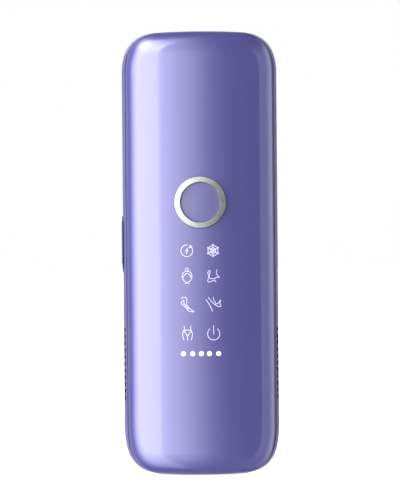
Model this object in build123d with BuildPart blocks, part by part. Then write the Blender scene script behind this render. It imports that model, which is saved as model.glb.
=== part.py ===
from build123d import *

import os

os.makedirs("parts", exist_ok=True)

# The body stands on its lower end: Z runs along its length, the front faces -Y and the lamp
# window is in the top end. All sizes are in millimetres. Plane.XZ faces the front, so
# Plane.XZ.offset(-y) is the plane at Y = y and a positive extrusion from it grows forwards.
body_height = 160.0
body_half_width = 28.0
cover_half_width = 26.5
crest_y = -18.0
parting_y = -6.0
full_width_y = 0.0
back_y = 19.0
wall = 2.0
arch_radius = 60.0
edge_round = 8.0
base_flat_depth = 0.15

# Outline of the body seen from the front: a drop along the side, then a crowned end.
top_side_drop = 15.0
top_crown_inset = 11.5
top_crown_radius = 310.0
top_side_pull = 0.65
top_crown_pull = 0.64
low_side_drop = 19.5
low_crown_inset = 12.5
low_crown_radius = 245.0
low_side_pull = 0.53
low_crown_pull = 0.90

# Cutting tools start or end this far outside the surface they cut.
clear = 1.0

# Joint between the two shells
lip_height = 1.5
lip_thickness = 1.0
lip_clearance = 0.15
ledge_depth = 1.2
ledge_overlap = 0.3
hook_z = (24.0, 80.0, 132.0)
hook_width = 5.0
# Root, leg and barb of a hook: their inner and outer X, then their front and back Y
hook_blocks = (
    (22.1, 24.4, -9.5, -7.7),
    (22.1, 23.2, -8.7, -3.2),
    (23.2, 24.1, -4.7, -3.2),
)

# Main button and its metal ring
button_z = 98.2
ring_outer_radius = 9.25
ring_inner_radius = 7.3
ring_front_y = -18.9
ring_outer_front_y = -18.45
ring_edge_round = 0.12
ring_seat_y = -17.0
ring_sleeve_radius = 8.5
ring_sleeve_end_y = -16.4
button_radius = 7.1
button_depth = 0.1
button_edge_round = 0.4
button_flange_radius = 8.1
button_flange_y = -16.2
button_back_y = -15.4
spring_radius = 5.4
spring_wire_radius = 0.18
spring_pitch = 1.0
spring_height = 3.0
spring_gap = 0.2
switch_size = 6.0
switch_thickness = 1.6
switch_well_depth = 1.3
switch_well_radius = 1.7
plunger_radius = 1.4
plunger_back_y = -13.1

# Touch board behind the cover, with its lights
touch_front_y = -12.0
touch_back_y = -10.8
touch_low_z = 38.0
touch_high_z = 112.0
touch_half_width = 15.0
touch_corner = 2.0
icon_x = (-4.9, 4.5)
icon_z = (51.1, 61.4, 71.7, 80.8)
light_z = 43.8
light_x = (-6.5, -3.1, 0.0, 2.9, 6.2)
light_radius = 0.9
light_length = 5.0
guide_front_y = -15.1
guide_low_z = 41.4
guide_high_z = 86.0
guide_width = 16.4
guide_corner = 1.5
icon_well_radius = 3.1
light_well_radius = 1.2
film_low_z = 46.8
film_thickness = 0.3
led_size = (1.6, 0.7, 0.8)
control_chip_z = 80.0
control_chip_size = (8.0, 1.0, 8.0)
connector_size = (12.0, 2.2, 4.0)
touch_connector_z = 65.5
board_connector_z = 68.5
ribbon_width = 11.0
ribbon_thickness = 0.4
ribbon_bend = 1.2

# Side button on the left edge
side_y = 2.0
side_z = 83.45
side_bezel_length = 20.5
side_bezel_width = 6.5
side_button_z = 84.0
side_button_length = 15.6
side_button_width = 3.4
side_gap = 0.2
side_slot_depth = 5.0
side_bezel_proud = 0.22
side_bezel_chamfer = 0.2
side_flange_border = 1.6
side_flange_thickness = 0.6
side_button_face_x = -28.5
side_button_edge_round = 0.3
side_button_flange_x = -25.2
side_button_flange_border = 2.0
side_button_flange_thickness = 0.7
side_plunger_radius = 1.2
side_plunger_x = -24.5
side_plunger_length = 1.5
side_switch_front_x = -23.6
side_switch_well_x = -22.4
side_switch_well_radius = 1.5
side_board_x = -22.0
side_board_size = (1.0, 7.0, 17.0)
side_arm_length = 19.0
side_arm_back_y = 6.5

# Air slots, the same on both sides; they start on the flare, so the front view shows their ends
slot_y = 0.7
slot_count = 11
slot_pitch = 2.44
slot_height = 1.77
slot_length = 9.0
slot_z = 40.1

# Dust screens just inside the slots
screen_x = 24.6
screen_thickness = 0.4
screen_width = 9.6
screen_length = 29.0
screen_pitch = 1.6
screen_holes = (5, 17)
screen_hole_radius = 0.5
screen_foot_height = 1.0
screen_foot_width = 4.6
screen_foot_shift = 2.4

# Lamp head in the top end
head_y = 3.8
window_length = 30.0
window_width = 10.0
window_top_z = 159.55
window_low_z = 151.5
window_corner = 1.4
window_chamfer = 0.25
window_gap = 0.2
head_cut_low_z = 156.0
bezel_length = 37.0
bezel_width = 13.6
bezel_corner = 4.0
bezel_flange_length = 40.0
bezel_flange_width = 14.4
bezel_flange_corner = 4.4
bezel_flange_thickness = 0.8
sensor_x = 16.9
sensor_radius = 1.0
sensor_top_z = 159.65
sensor_edge_round = 0.3
gasket_low_z = 156.0
gasket_length = 33.6
gasket_width = 12.8
gasket_corner = 2.5
filter_thickness = 1.5
lamp_z = 142.0
lamp_radius = 2.2
lamp_wall = 0.6
lamp_half_length = 17.0
electrode_cap_length = 1.4
electrode_inner_x = 15.0
electrode_outer_x = 21.0
electrode_radius = 0.5
reflector_half_length = 14.2
reflector_height = 7.8
reflector_mouth = 4.3
reflector_bowl = 3.4
reflector_sheet = 0.5
housing_length = 40.0
housing_width = 12.8
housing_wall_x = 1.6
housing_wall_y = 1.5
housing_floor = 1.5
housing_high_z = 146.0
holder_inner_x = 15.0
holder_outer_x = 18.4
holder_width = 9.8
holder_height = 8.0
lamp_lead_x = 23.0
lamp_lead_z = 122.0
lamp_pad_x = 18.7
lamp_lead_radius = 0.6
lamp_lead_bend = 0.9

# Cooling of the window
plate_front_y = -9.7
plate_back_y = -5.7
plate_half_width = 20.2
hot_low_z = 128.0
hot_high_z = 153.0
hot_corner = 1.5
pipe_x = 17.5
pipe_y = (plate_front_y + plate_back_y) / 2
pipe_radius = 1.5
pipe_low_z = 25.0
pipe_high_z = 151.0
cold_front_y = -2.7
cold_back_y = 2 * head_y - cold_front_y
cold_low_z = 146.0
cold_height = 10.0
cold_length = 34.0
peltier_x = 9.0
peltier_z = 149.5
peltier_length = 14.0
peltier_height = 7.0
sink_height = 36.0
fin_tip_y = 5.5
fin_inset = 1.0
fin_thickness = 0.7
temperature_sensor_z = 150.0
temperature_sensor_size = (3.0, 1.5, 4.0)
temperature_sensor_round = 0.4

# Fan behind the heat sink; it spins about Y
fan_z = 40.0
fan_half = 20.0
fan_front_y = 6.2
fan_back_y = 16.2
fan_bore = 18.2
fan_hole = 16.0
fan_corner = 3.0
fan_base_radius = 8.2
fan_base_thickness = 1.2
fan_spoke_width = 2.4
fan_spoke_overlap = 0.6
fan_post_radius = 2.0
fan_post_hole_depth = 9.2
fan_screw_radius = 1.0
fan_screw_head_radius = 2.0
fan_screw_head_height = 1.3
fan_screw_length = 16.0
axle_radius = 0.75
axle_back_y = 14.7
bearing_bore = 0.79
bearing_radius = 2.2
bearing_back_y = 14.8
bearing_length = 5.6
bearing_tube_radius = 3.2
bearing_tube_length = 6.0
hub_radius = 9.0
hub_wall = 1.0
hub_front_y = 7.0
hub_cap_thickness = 1.2
hub_back_y = 14.2
blade_count = 7
blade_y = 10.6
blade_centre_radius = 13.2
blade_length = 9.4
blade_thickness = 0.8
blade_chord = 8.4
blade_twist = 38.0
magnet_back_y = 14.0
magnet_length = 5.0
magnet_thickness = 0.8
stator_back_y = 13.4
stator_length = 3.8
stator_radius = 6.7
stator_slots = 4
stator_slot_distance = 6.0
stator_slot_radius = 1.3
fan_lead_x = 18.6
fan_lead_y = 11.0
fan_lead_low_z = 60.0
fan_lead_high_z = 74.0
fan_lead_radius = 0.7
fan_lead_bend = 3.0

# Chassis and main board
chassis_front_y = -3.4
chassis_back_y = -1.8
chassis_half_width = 21.5
chassis_low_z = 60.0
chassis_high_z = 136.5
board_front_y = 0.0
board_back_y = 1.6
board_half_width = 19.5
board_low_z = 66.0
board_high_z = 131.5
board_corner = 1.0
notch_width = 14.0
notch_height = 2.5
opening_z = 96.0
opening_width = 26.0
opening_height = 40.0
opening_corner = 3.0
rail_inner_x = 20.2
rail_outer_x = 21.5
rail_spans = ((20.0, 62.0), (128.0, 136.0))
post_radius = 2.0
case_screws = [(x, z) for x in (-15.0, 15.0) for z in (63.0, 134.1)]
case_boss_radius = 2.3
case_hole_depth = 9.0
case_screw_radius = 0.9
case_screw_head_radius = 1.9
case_screw_head_height = 1.4
case_clearance_radius = 1.0
board_screw_radius = 0.8
board_screw_head_radius = 1.6
board_screw_head_height = 1.2
board_screw_length = 4.0
standoff_hole_depth = 3.0
touch_screw_head_height = 0.8
touch_screw_length = 5.0
board_screws_at = [(x, z) for x in (-17.2, 17.2) for z in (69.0, 128.8)]
touch_screws_at = [(x, z) for x in (-12.5, 12.5) for z in (66.0, 108.5)]
fan_screws_at = [(x, fan_z + dz) for x in (-fan_hole, fan_hole) for dz in (-fan_hole, fan_hole)]

# Components on the main board
capacitor_x = 8.2
capacitor_radius = 7.2
capacitor_low_z = 72.5
capacitor_length = 38.0
capacitor_edge_round = 0.8
capacitor_lift = 0.05
transformer_x = -10.0
transformer_y = 7.0
transformer_z = 120.0
core_size = 14.0
core_thickness = 6.0
core_window_x = 3.0
core_window_width = 3.0
core_window_height = 9.0
winding_width = 8.8
winding_depth = 10.8
winding_corner = 1.2
winding_height = 8.8
trigger_x = 2.6
trigger_radius = 3.4
trigger_low_z = 113.5
trigger_length = 12.0
trigger_lift = 4.0
trigger_foot = (7.0, 1.2, 13.0)
transistor_x = 12.6
transistor_z = (116.2, 123.6)
transistor_size = (9.0, 4.4, 6.6)

# Power inlet in the lower end
jack_y = 4.0
jack_radius = 5.0
jack_neck_radius = 4.0
jack_neck_low_z = 0.3
jack_bore = 2.85
jack_bore_depth = 11.0
jack_pin_radius = 1.0
jack_pin_root_radius = 1.2
jack_pin_root_length = 1.0
jack_pin_low_z = 1.5
jack_pin_edge_round = 0.4
jack_top_z = 13.0
jack_lead_x = -3.0
jack_lead_radius = 0.8
jack_lead_bend = 2.0
jack_lead_turn_z = 17.5
jack_lead_side_x = -22.8
jack_lead_side_y = 12.0
jack_lead_pad_x = -17.8
jack_lead_pad_z = 98.0


def block(x_span, y_span, z_span):
    """Add a box that fills the given spans of X, Y and Z."""
    spans = (x_span, y_span, z_span)
    with Locations(tuple(sum(span) / 2 for span in spans)):
        Box(*[abs(span[1] - span[0]) for span in spans])


def corner(half_width, end, way, side_drop, crown_inset, crown_radius, side_pull, crown_pull):
    """Four Bezier points from the straight side to the crowned end; way is 1 up, -1 down."""
    crown_end = half_width - crown_inset
    reach = (crown_radius**2 - crown_end**2) ** 0.5
    fall = crown_radius - reach
    slope = crown_end / reach
    on_side = (half_width, end - way * side_drop)
    on_crown = (crown_end, end - way * fall)
    apex_z = end - way * (fall + slope * (half_width - crown_end))
    side_handle = (half_width, on_side[1] + (apex_z - on_side[1]) * side_pull)
    crown_handle = (
        on_crown[0] + (half_width - on_crown[0]) * crown_pull,
        on_crown[1] + (apex_z - on_crown[1]) * crown_pull,
    )
    return [on_side, side_handle, crown_handle, on_crown]


def mirrored(points):
    return [(-x, z) for x, z in points]


def outline(inset, half_width):
    """The body's outline as a face, moved inwards by inset."""
    half = half_width - inset
    high = body_height - inset
    low = inset - base_flat_depth
    top = corner(half, high, 1, top_side_drop, top_crown_inset, top_crown_radius,
                 top_side_pull, top_crown_pull)
    bottom = corner(half, low, -1, low_side_drop, low_crown_inset, low_crown_radius,
                    low_side_pull, low_crown_pull)
    with BuildSketch() as face:
        with BuildLine():
            Line(bottom[0], top[0])
            Bezier(*top)
            ThreePointArc(top[3], (0, high), mirrored(top)[3])
            Bezier(*reversed(mirrored(top)))
            Line(mirrored(top)[0], mirrored(bottom)[0])
            Bezier(*mirrored(bottom))
            ThreePointArc(mirrored(bottom)[3], (0, low), bottom[3])
            Bezier(*reversed(bottom))
        make_face()
    return face.sketch


# Everything above the level of the base; it trims the lower end to a small flat.
above_base = Pos(0, 0, body_height) * Box(4 * body_half_width, 4 * body_half_width, 2 * body_height)


def cover_body(inset):
    """Solid form of the front cover: arched across, rounded all round its front edge."""
    radius = arch_radius - inset
    front = crest_y + inset
    sag = radius - (radius**2 - body_half_width**2) ** 0.5
    with BuildPart() as body:
        with BuildSketch(Plane.XZ.offset(-parting_y)):
            add(outline(inset, cover_half_width))
        extrude(amount=parting_y - crest_y + clear)
        with BuildSketch(Plane.XY.offset(-clear)):
            with BuildLine():
                left = (-body_half_width, front + sag)
                right = (body_half_width, front + sag)
                ThreePointArc(left, (0, front), right)
                Polyline(right, (body_half_width, 0), (-body_half_width, 0), left)
            make_face()
        extrude(amount=body_height + 2 * clear, mode=Mode.INTERSECT)
        fillet(body.faces().sort_by(Axis.Y)[0].edges(), edge_round - inset)
        add(above_base, mode=Mode.INTERSECT)
    return body.part


def rear_body(inset):
    """Solid form of the rear shell: it flares out from the parting plane to its full width."""
    with BuildPart() as body:
        with BuildSketch(Plane.XZ.offset(-parting_y)):
            add(outline(inset, cover_half_width))
        with BuildSketch(Plane.XZ.offset(-full_width_y)):
            add(outline(inset, body_half_width))
        loft(ruled=True)
        with BuildSketch(Plane.XZ.offset(-full_width_y)):
            add(outline(inset, body_half_width))
        extrude(amount=-(back_y - inset - full_width_y))
        fillet(body.faces().sort_by(Axis.Y)[-1].edges(), edge_round - inset)
        add(above_base, mode=Mode.INTERSECT)
    return body.part


# ---------------------------------------------------------------- shells

with BuildPart() as front_cover:
    add(cover_body(0))
    add(cover_body(wall), mode=Mode.SUBTRACT)
    with BuildSketch(Plane.XZ.offset(-ring_seat_y)):
        with Locations((0, button_z)):
            Circle(ring_outer_radius)
    extrude(amount=ring_seat_y - crest_y + clear, mode=Mode.SUBTRACT)
    with BuildSketch(Plane.XZ.offset(-parting_y)):
        with Locations((0, button_z)):
            Circle(ring_sleeve_radius)
        with Locations(*[(x, light_z) for x in light_x]):
            Circle(light_radius)
    extrude(amount=parting_y - crest_y + clear, mode=Mode.SUBTRACT)
    # Snap hooks: a root on the side wall, a leg past the lip and a barb behind the ledge.
    for side in (-1, 1):
        for z in hook_z:
            for inner_x, outer_x, front_y, rear_y in hook_blocks:
                block(
                    (side * inner_x, side * outer_x),
                    (front_y, rear_y),
                    (z - hook_width / 2, z + hook_width / 2),
                )
front_cover.part.label = "front_cover"
export_step(front_cover.part, "parts/front_cover.step")

with BuildPart() as rear_shell:
    add(rear_body(0))
    add(rear_body(wall), mode=Mode.SUBTRACT)
    # Lip that locates the cover, and the ledge that joins it to the wall
    with BuildSketch(Plane.XZ.offset(-parting_y)):
        add(outline(wall + lip_clearance, cover_half_width))
        add(outline(wall + lip_clearance + lip_thickness, cover_half_width), mode=Mode.SUBTRACT)
    extrude(amount=lip_height)
    with BuildSketch(Plane.XZ.offset(-parting_y)):
        add(outline(wall - ledge_overlap, cover_half_width))
        add(outline(wall + lip_clearance + lip_thickness, cover_half_width), mode=Mode.SUBTRACT)
    extrude(amount=-ledge_depth)
    # Screw bosses that carry the chassis
    with BuildSketch(Plane.XZ.offset(-back_y + wall / 2)):
        with Locations(*case_screws):
            Circle(case_boss_radius)
    extrude(amount=back_y - wall / 2 - chassis_back_y)
    with BuildSketch(Plane.XZ.offset(-chassis_back_y)):
        with Locations(*case_screws):
            Circle(case_screw_radius)
    extrude(amount=-case_hole_depth, mode=Mode.SUBTRACT)
    # Air slots through both side walls
    with BuildSketch(Plane.YZ.offset(-body_half_width - clear)):
        with Locations((slot_y, slot_z)):
            with GridLocations(1, slot_pitch, 1, slot_count):
                SlotOverall(slot_length, slot_height)
    extrude(amount=2 * (body_half_width + clear), mode=Mode.SUBTRACT)
    # Side button's slot in the left wall
    with BuildSketch(Plane.YZ.offset(-body_half_width - clear)):
        with Locations((side_y, side_z)):
            SlotOverall(side_bezel_length, side_bezel_width, rotation=90)
    extrude(amount=side_slot_depth, mode=Mode.SUBTRACT)
    # Head opening in the top end and jack hole in the lower end
    with BuildSketch(Plane.XY.offset(head_cut_low_z)):
        with Locations((0, head_y)):
            RectangleRounded(bezel_length, bezel_width, bezel_corner)
    extrude(amount=body_height + clear - head_cut_low_z, mode=Mode.SUBTRACT)
    with BuildSketch(Plane.XY):
        with Locations((0, jack_y)):
            Circle(jack_neck_radius)
    extrude(amount=wall + clear, mode=Mode.SUBTRACT)
rear_shell.part.label = "rear_shell"
export_step(rear_shell.part, "parts/rear_shell.step")

for side, name in ((-1, "left_vent_screen"), (1, "right_vent_screen")):
    with BuildPart() as vent_screen:
        with BuildSketch(Plane.YZ.offset(side * screen_x)):
            with Locations((slot_y, slot_z)):
                Rectangle(screen_width, screen_length)
                with GridLocations(screen_pitch, screen_pitch, *screen_holes):
                    Circle(screen_hole_radius, mode=Mode.SUBTRACT)
        extrude(amount=side * screen_thickness)
        # Two feet that stand the screen off the side wall
        with BuildSketch(Plane.YZ.offset(side * screen_x)):
            with Locations((slot_y + screen_foot_shift, slot_z)):
                with GridLocations(1, screen_length - screen_foot_height, 1, 2):
                    Rectangle(screen_foot_width, screen_foot_height)
        extrude(amount=side * (body_half_width - wall - screen_x))
    vent_screen.part.label = name
    export_step(vent_screen.part, f"parts/{name}.step")

# ---------------------------------------------------------------- lamp head

flange_low_z = body_height - wall - bezel_flange_thickness
with BuildPart() as head_bezel:
    with BuildSketch(Plane.XY.offset(flange_low_z)):
        with Locations((0, head_y)):
            RectangleRounded(bezel_flange_length, bezel_flange_width, bezel_flange_corner)
    extrude(amount=bezel_flange_thickness)
    with BuildSketch(Plane.XY.offset(flange_low_z)):
        with Locations((0, head_y)):
            RectangleRounded(bezel_length, bezel_width, bezel_corner)
    extrude(amount=body_height - flange_low_z)
    with BuildSketch(Plane.XY.offset(flange_low_z - clear)):
        with Locations((0, head_y)):
            RectangleRounded(
                window_length + 2 * window_gap,
                window_width + 2 * window_gap,
                window_corner + window_gap,
            )
        with Locations((-sensor_x, head_y), (sensor_x, head_y)):
            Circle(sensor_radius)
    extrude(amount=body_height - flange_low_z + 2 * clear, mode=Mode.SUBTRACT)
    with BuildSketch(Plane.XZ.offset(-back_y)):
        add(outline(0, body_half_width))
    extrude(amount=2 * back_y, mode=Mode.INTERSECT)
    add(rear_shell.part, mode=Mode.SUBTRACT)
head_bezel.part.label = "head_bezel"
export_step(head_bezel.part, "parts/head_bezel.step")

with BuildPart() as skin_sensors:
    with BuildSketch(Plane.XY.offset(flange_low_z)):
        with Locations((-sensor_x, head_y), (sensor_x, head_y)):
            Circle(sensor_radius)
    extrude(amount=sensor_top_z - flange_low_z)
    fillet(skin_sensors.faces().filter_by(Axis.Z).group_by(Axis.Z)[-1].edges(), sensor_edge_round)
skin_sensors.part.label = "skin_sensors"
export_step(skin_sensors.part, "parts/skin_sensors.step")

with BuildPart() as sapphire_window:
    with BuildSketch(Plane.XY.offset(window_low_z)):
        with Locations((0, head_y)):
            RectangleRounded(window_length, window_width, window_corner)
    extrude(amount=window_top_z - window_low_z)
    chamfer(sapphire_window.faces().sort_by(Axis.Z)[-1].edges(), window_chamfer)
sapphire_window.part.label = "sapphire_window"
export_step(sapphire_window.part, "parts/sapphire_window.step")

with BuildPart() as window_gasket:
    with BuildSketch(Plane.XY.offset(gasket_low_z)):
        with Locations((0, head_y)):
            RectangleRounded(gasket_length, gasket_width, gasket_corner)
            RectangleRounded(window_length, window_width, window_corner, mode=Mode.SUBTRACT)
    extrude(amount=flange_low_z - gasket_low_z)
window_gasket.part.label = "window_gasket"
export_step(window_gasket.part, "parts/window_gasket.step")

with BuildPart() as cold_plate:
    with BuildSketch(Plane.XY.offset(cold_low_z)):
        with Locations((0, head_y)):
            Rectangle(cold_length, cold_back_y - cold_front_y)
            RectangleRounded(window_length, window_width, window_corner, mode=Mode.SUBTRACT)
    extrude(amount=cold_height)
cold_plate.part.label = "cold_plate"
export_step(cold_plate.part, "parts/cold_plate.step")

with BuildPart() as optical_filter:
    with BuildSketch(Plane.XY.offset(window_low_z - filter_thickness)):
        with Locations((0, head_y)):
            RectangleRounded(window_length, window_width, window_corner)
    extrude(amount=filter_thickness)
optical_filter.part.label = "optical_filter"
export_step(optical_filter.part, "parts/optical_filter.step")


def trough(spread):
    """Section of the lamp's trough, closed across its mouth and moved outwards by spread."""
    mouth = reflector_mouth + spread
    bowl = reflector_bowl + spread
    with BuildSketch() as section:
        with BuildLine():
            Line((mouth, reflector_height), (bowl, 0))
            ThreePointArc((bowl, 0), (0, -bowl), (-bowl, 0))
            Polyline((-bowl, 0), (-mouth, reflector_height), (mouth, reflector_height))
        make_face()
    return section.sketch


with BuildPart() as lamp_reflector:
    with BuildSketch(Plane.YZ.offset(-reflector_half_length)):
        with Locations((head_y, lamp_z)):
            add(trough(reflector_sheet))
            add(trough(0), mode=Mode.SUBTRACT)
    extrude(amount=2 * reflector_half_length)
lamp_reflector.part.label = "lamp_reflector"
export_step(lamp_reflector.part, "parts/lamp_reflector.step")

with BuildPart() as lamp_housing:
    with BuildSketch(Plane.XY.offset(chassis_high_z)):
        with Locations((0, head_y)):
            Rectangle(housing_length, housing_width)
    extrude(amount=housing_high_z - chassis_high_z)
    with BuildSketch(Plane.XY.offset(chassis_high_z + housing_floor)):
        with Locations((0, head_y)):
            Rectangle(housing_length - 2 * housing_wall_x, housing_width - 2 * housing_wall_y)
    extrude(amount=housing_high_z - chassis_high_z, mode=Mode.SUBTRACT)
    with BuildSketch(Plane.YZ.offset(-housing_length / 2 - clear)):
        with Locations((head_y, lamp_z)):
            Circle(electrode_radius)
    extrude(amount=housing_length + 2 * clear, mode=Mode.SUBTRACT)
lamp_housing.part.label = "lamp_housing"
export_step(lamp_housing.part, "parts/lamp_housing.step")

with BuildPart() as lamp_holders:
    for start in (-holder_outer_x, holder_inner_x):
        with BuildSketch(Plane.YZ.offset(start)):
            with Locations((head_y, lamp_z)):
                Rectangle(holder_width, holder_height)
                Circle(lamp_radius, mode=Mode.SUBTRACT)
        extrude(amount=holder_outer_x - holder_inner_x)
lamp_holders.part.label = "lamp_holders"
export_step(lamp_holders.part, "parts/lamp_holders.step")

with BuildPart() as flash_lamp_tube:
    with BuildSketch(Plane.YZ.offset(-lamp_half_length)):
        with Locations((head_y, lamp_z)):
            Circle(lamp_radius)
            Circle(lamp_radius - lamp_wall, mode=Mode.SUBTRACT)
    extrude(amount=2 * lamp_half_length)
flash_lamp_tube.part.label = "flash_lamp_tube"
export_step(flash_lamp_tube.part, "parts/flash_lamp_tube.step")

with BuildPart() as lamp_electrodes:
    for side in (-1, 1):
        with BuildSketch(Plane.YZ.offset(side * lamp_half_length)):
            with Locations((head_y, lamp_z)):
                Circle(lamp_radius)
        extrude(amount=side * electrode_cap_length)
        with BuildSketch(Plane.YZ.offset(side * electrode_inner_x)):
            with Locations((head_y, lamp_z)):
                Circle(electrode_radius)
        extrude(amount=side * (electrode_outer_x - electrode_inner_x))
lamp_electrodes.part.label = "lamp_electrodes"
export_step(lamp_electrodes.part, "parts/lamp_electrodes.step")

with BuildPart() as lamp_leads:
    for side in (-1, 1):
        with BuildLine():
            FilletPolyline(
                (side * electrode_outer_x, head_y, lamp_z),
                (side * lamp_lead_x, head_y, lamp_z),
                (side * lamp_lead_x, head_y, lamp_lead_z),
                (side * lamp_pad_x, head_y, lamp_lead_z),
                (side * lamp_pad_x, board_back_y, lamp_lead_z),
                radius=lamp_lead_bend,
            )
        with BuildSketch(Plane((side * electrode_outer_x, head_y, lamp_z), z_dir=(side, 0, 0))):
            Circle(lamp_lead_radius)
        sweep()
lamp_leads.part.label = "lamp_leads"
export_step(lamp_leads.part, "parts/lamp_leads.step")

# ---------------------------------------------------------------- cooling

with BuildPart() as peltier_modules:
    for side in (-1, 1):
        with Locations((side * peltier_x, (plate_back_y + cold_front_y) / 2, peltier_z)):
            Box(peltier_length, cold_front_y - plate_back_y, peltier_height)
peltier_modules.part.label = "peltier_modules"
export_step(peltier_modules.part, "parts/peltier_modules.step")

with BuildPart() as hot_plate:
    with BuildSketch(Plane.XZ.offset(-plate_back_y)):
        with Locations((0, (hot_low_z + hot_high_z) / 2)):
            RectangleRounded(2 * plate_half_width, hot_high_z - hot_low_z, hot_corner)
    extrude(amount=plate_back_y - plate_front_y)
    with BuildSketch(Plane.XY.offset(hot_low_z - clear)):
        with Locations((-pipe_x, pipe_y), (pipe_x, pipe_y)):
            Circle(pipe_radius)
    extrude(amount=pipe_high_z - hot_low_z + clear, mode=Mode.SUBTRACT)
hot_plate.part.label = "hot_plate"
export_step(hot_plate.part, "parts/hot_plate.step")

with BuildPart() as heat_pipes:
    with BuildSketch(Plane.XY.offset(pipe_low_z)):
        with Locations((-pipe_x, pipe_y), (pipe_x, pipe_y)):
            Circle(pipe_radius)
    extrude(amount=pipe_high_z - pipe_low_z)
heat_pipes.part.label = "heat_pipes"
export_step(heat_pipes.part, "parts/heat_pipes.step")

with BuildPart() as heat_sink:
    with BuildSketch(Plane.XZ.offset(-plate_back_y)):
        with Locations((0, fan_z)):
            Rectangle(2 * plate_half_width, sink_height)
    extrude(amount=plate_back_y - plate_front_y)
    for index in range(slot_count + 1):
        fin_z = slot_z + (index - slot_count / 2) * slot_pitch
        with Locations((0, (plate_back_y + fin_tip_y) / 2, fin_z)):
            Box(2 * (plate_half_width - fin_inset), fin_tip_y - plate_back_y, fin_thickness)
    with BuildSketch(Plane.XZ.offset(-plate_back_y)):
        with Locations(*fan_screws_at):
            Circle(fan_post_radius)
    extrude(amount=-(fan_front_y - plate_back_y))
    with BuildSketch(Plane.XZ.offset(-fan_front_y)):
        with Locations(*fan_screws_at):
            Circle(fan_screw_radius)
    extrude(amount=fan_post_hole_depth, mode=Mode.SUBTRACT)
    with BuildSketch(Plane.XY.offset(pipe_low_z)):
        with Locations((-pipe_x, pipe_y), (pipe_x, pipe_y)):
            Circle(pipe_radius)
    extrude(amount=sink_height, mode=Mode.SUBTRACT)
heat_sink.part.label = "heat_sink"
export_step(heat_sink.part, "parts/heat_sink.step")

with BuildPart() as temperature_sensor:
    with Locations((0, cold_back_y + temperature_sensor_size[1] / 2, temperature_sensor_z)):
        Box(*temperature_sensor_size)
    fillet(temperature_sensor.edges().filter_by(Axis.Z), temperature_sensor_round)
temperature_sensor.part.label = "temperature_sensor"
export_step(temperature_sensor.part, "parts/temperature_sensor.step")

# ---------------------------------------------------------------- fan

with BuildPart() as fan_housing:
    with BuildSketch(Plane.XZ.offset(-fan_back_y)):
        with Locations((0, fan_z)):
            RectangleRounded(2 * fan_half, 2 * fan_half, fan_corner)
            Circle(fan_bore, mode=Mode.SUBTRACT)
        with Locations(*fan_screws_at):
            Circle(fan_screw_radius, mode=Mode.SUBTRACT)
    extrude(amount=fan_back_y - fan_front_y)
    with BuildSketch(Plane.XZ.offset(-fan_back_y)):
        with Locations((0, fan_z)):
            Circle(fan_base_radius)
            for angle in (45, 135):
                Rectangle(2 * fan_bore + fan_spoke_overlap, fan_spoke_width, rotation=angle)
    extrude(amount=fan_base_thickness)
    with BuildSketch(Plane.XZ.offset(-fan_back_y + fan_base_thickness)):
        with Locations((0, fan_z)):
            Circle(bearing_tube_radius)
            Circle(bearing_radius, mode=Mode.SUBTRACT)
    extrude(amount=bearing_tube_length)
    with BuildSketch(Plane.XZ.offset(-fan_back_y)):
        with Locations(*fan_screws_at):
            Circle(fan_screw_head_radius)
    extrude(amount=fan_screw_head_height, mode=Mode.SUBTRACT)
fan_housing.part.label = "fan_housing"
export_step(fan_housing.part, "parts/fan_housing.step")

with BuildPart() as fan_rotor:
    with BuildSketch(Plane.XZ.offset(-hub_front_y - hub_cap_thickness)):
        with Locations((0, fan_z)):
            Circle(hub_radius)
            Circle(axle_radius, mode=Mode.SUBTRACT)
    extrude(amount=hub_cap_thickness)
    with BuildSketch(Plane.XZ.offset(-hub_back_y)):
        with Locations((0, fan_z)):
            Circle(hub_radius)
            Circle(hub_radius - hub_wall, mode=Mode.SUBTRACT)
    extrude(amount=hub_back_y - hub_front_y - hub_cap_thickness)
    with Locations(Location((0, blade_y, fan_z), (-90, 0, 0))):
        with PolarLocations(blade_centre_radius, blade_count):
            with Locations(Location((0, 0, 0), (blade_twist, 0, 0))):
                Box(blade_length, blade_thickness, blade_chord)
fan_rotor.part.label = "fan_rotor"
export_step(fan_rotor.part, "parts/fan_rotor.step")

with BuildPart() as rotor_magnet:
    with BuildSketch(Plane.XZ.offset(-magnet_back_y)):
        with Locations((0, fan_z)):
            Circle(hub_radius - hub_wall)
            Circle(hub_radius - hub_wall - magnet_thickness, mode=Mode.SUBTRACT)
    extrude(amount=magnet_length)
rotor_magnet.part.label = "rotor_magnet"
export_step(rotor_magnet.part, "parts/rotor_magnet.step")

with BuildPart() as fan_axle:
    with BuildSketch(Plane.XZ.offset(-axle_back_y)):
        with Locations((0, fan_z)):
            Circle(axle_radius)
    extrude(amount=axle_back_y - hub_front_y)
fan_axle.part.label = "fan_axle"
export_step(fan_axle.part, "parts/fan_axle.step")

with BuildPart() as fan_bearing:
    with BuildSketch(Plane.XZ.offset(-bearing_back_y)):
        with Locations((0, fan_z)):
            Circle(bearing_radius)
            Circle(bearing_bore, mode=Mode.SUBTRACT)
    extrude(amount=bearing_length)
fan_bearing.part.label = "fan_bearing"
export_step(fan_bearing.part, "parts/fan_bearing.step")

with BuildPart() as fan_stator:
    with BuildSketch(Plane.XZ.offset(-stator_back_y)):
        with Locations((0, fan_z)):
            Circle(stator_radius)
            Circle(bearing_tube_radius, mode=Mode.SUBTRACT)
            with PolarLocations(stator_slot_distance, stator_slots, start_angle=45):
                Circle(stator_slot_radius, mode=Mode.SUBTRACT)
    extrude(amount=stator_length)
fan_stator.part.label = "fan_stator"
export_step(fan_stator.part, "parts/fan_stator.step")

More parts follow.
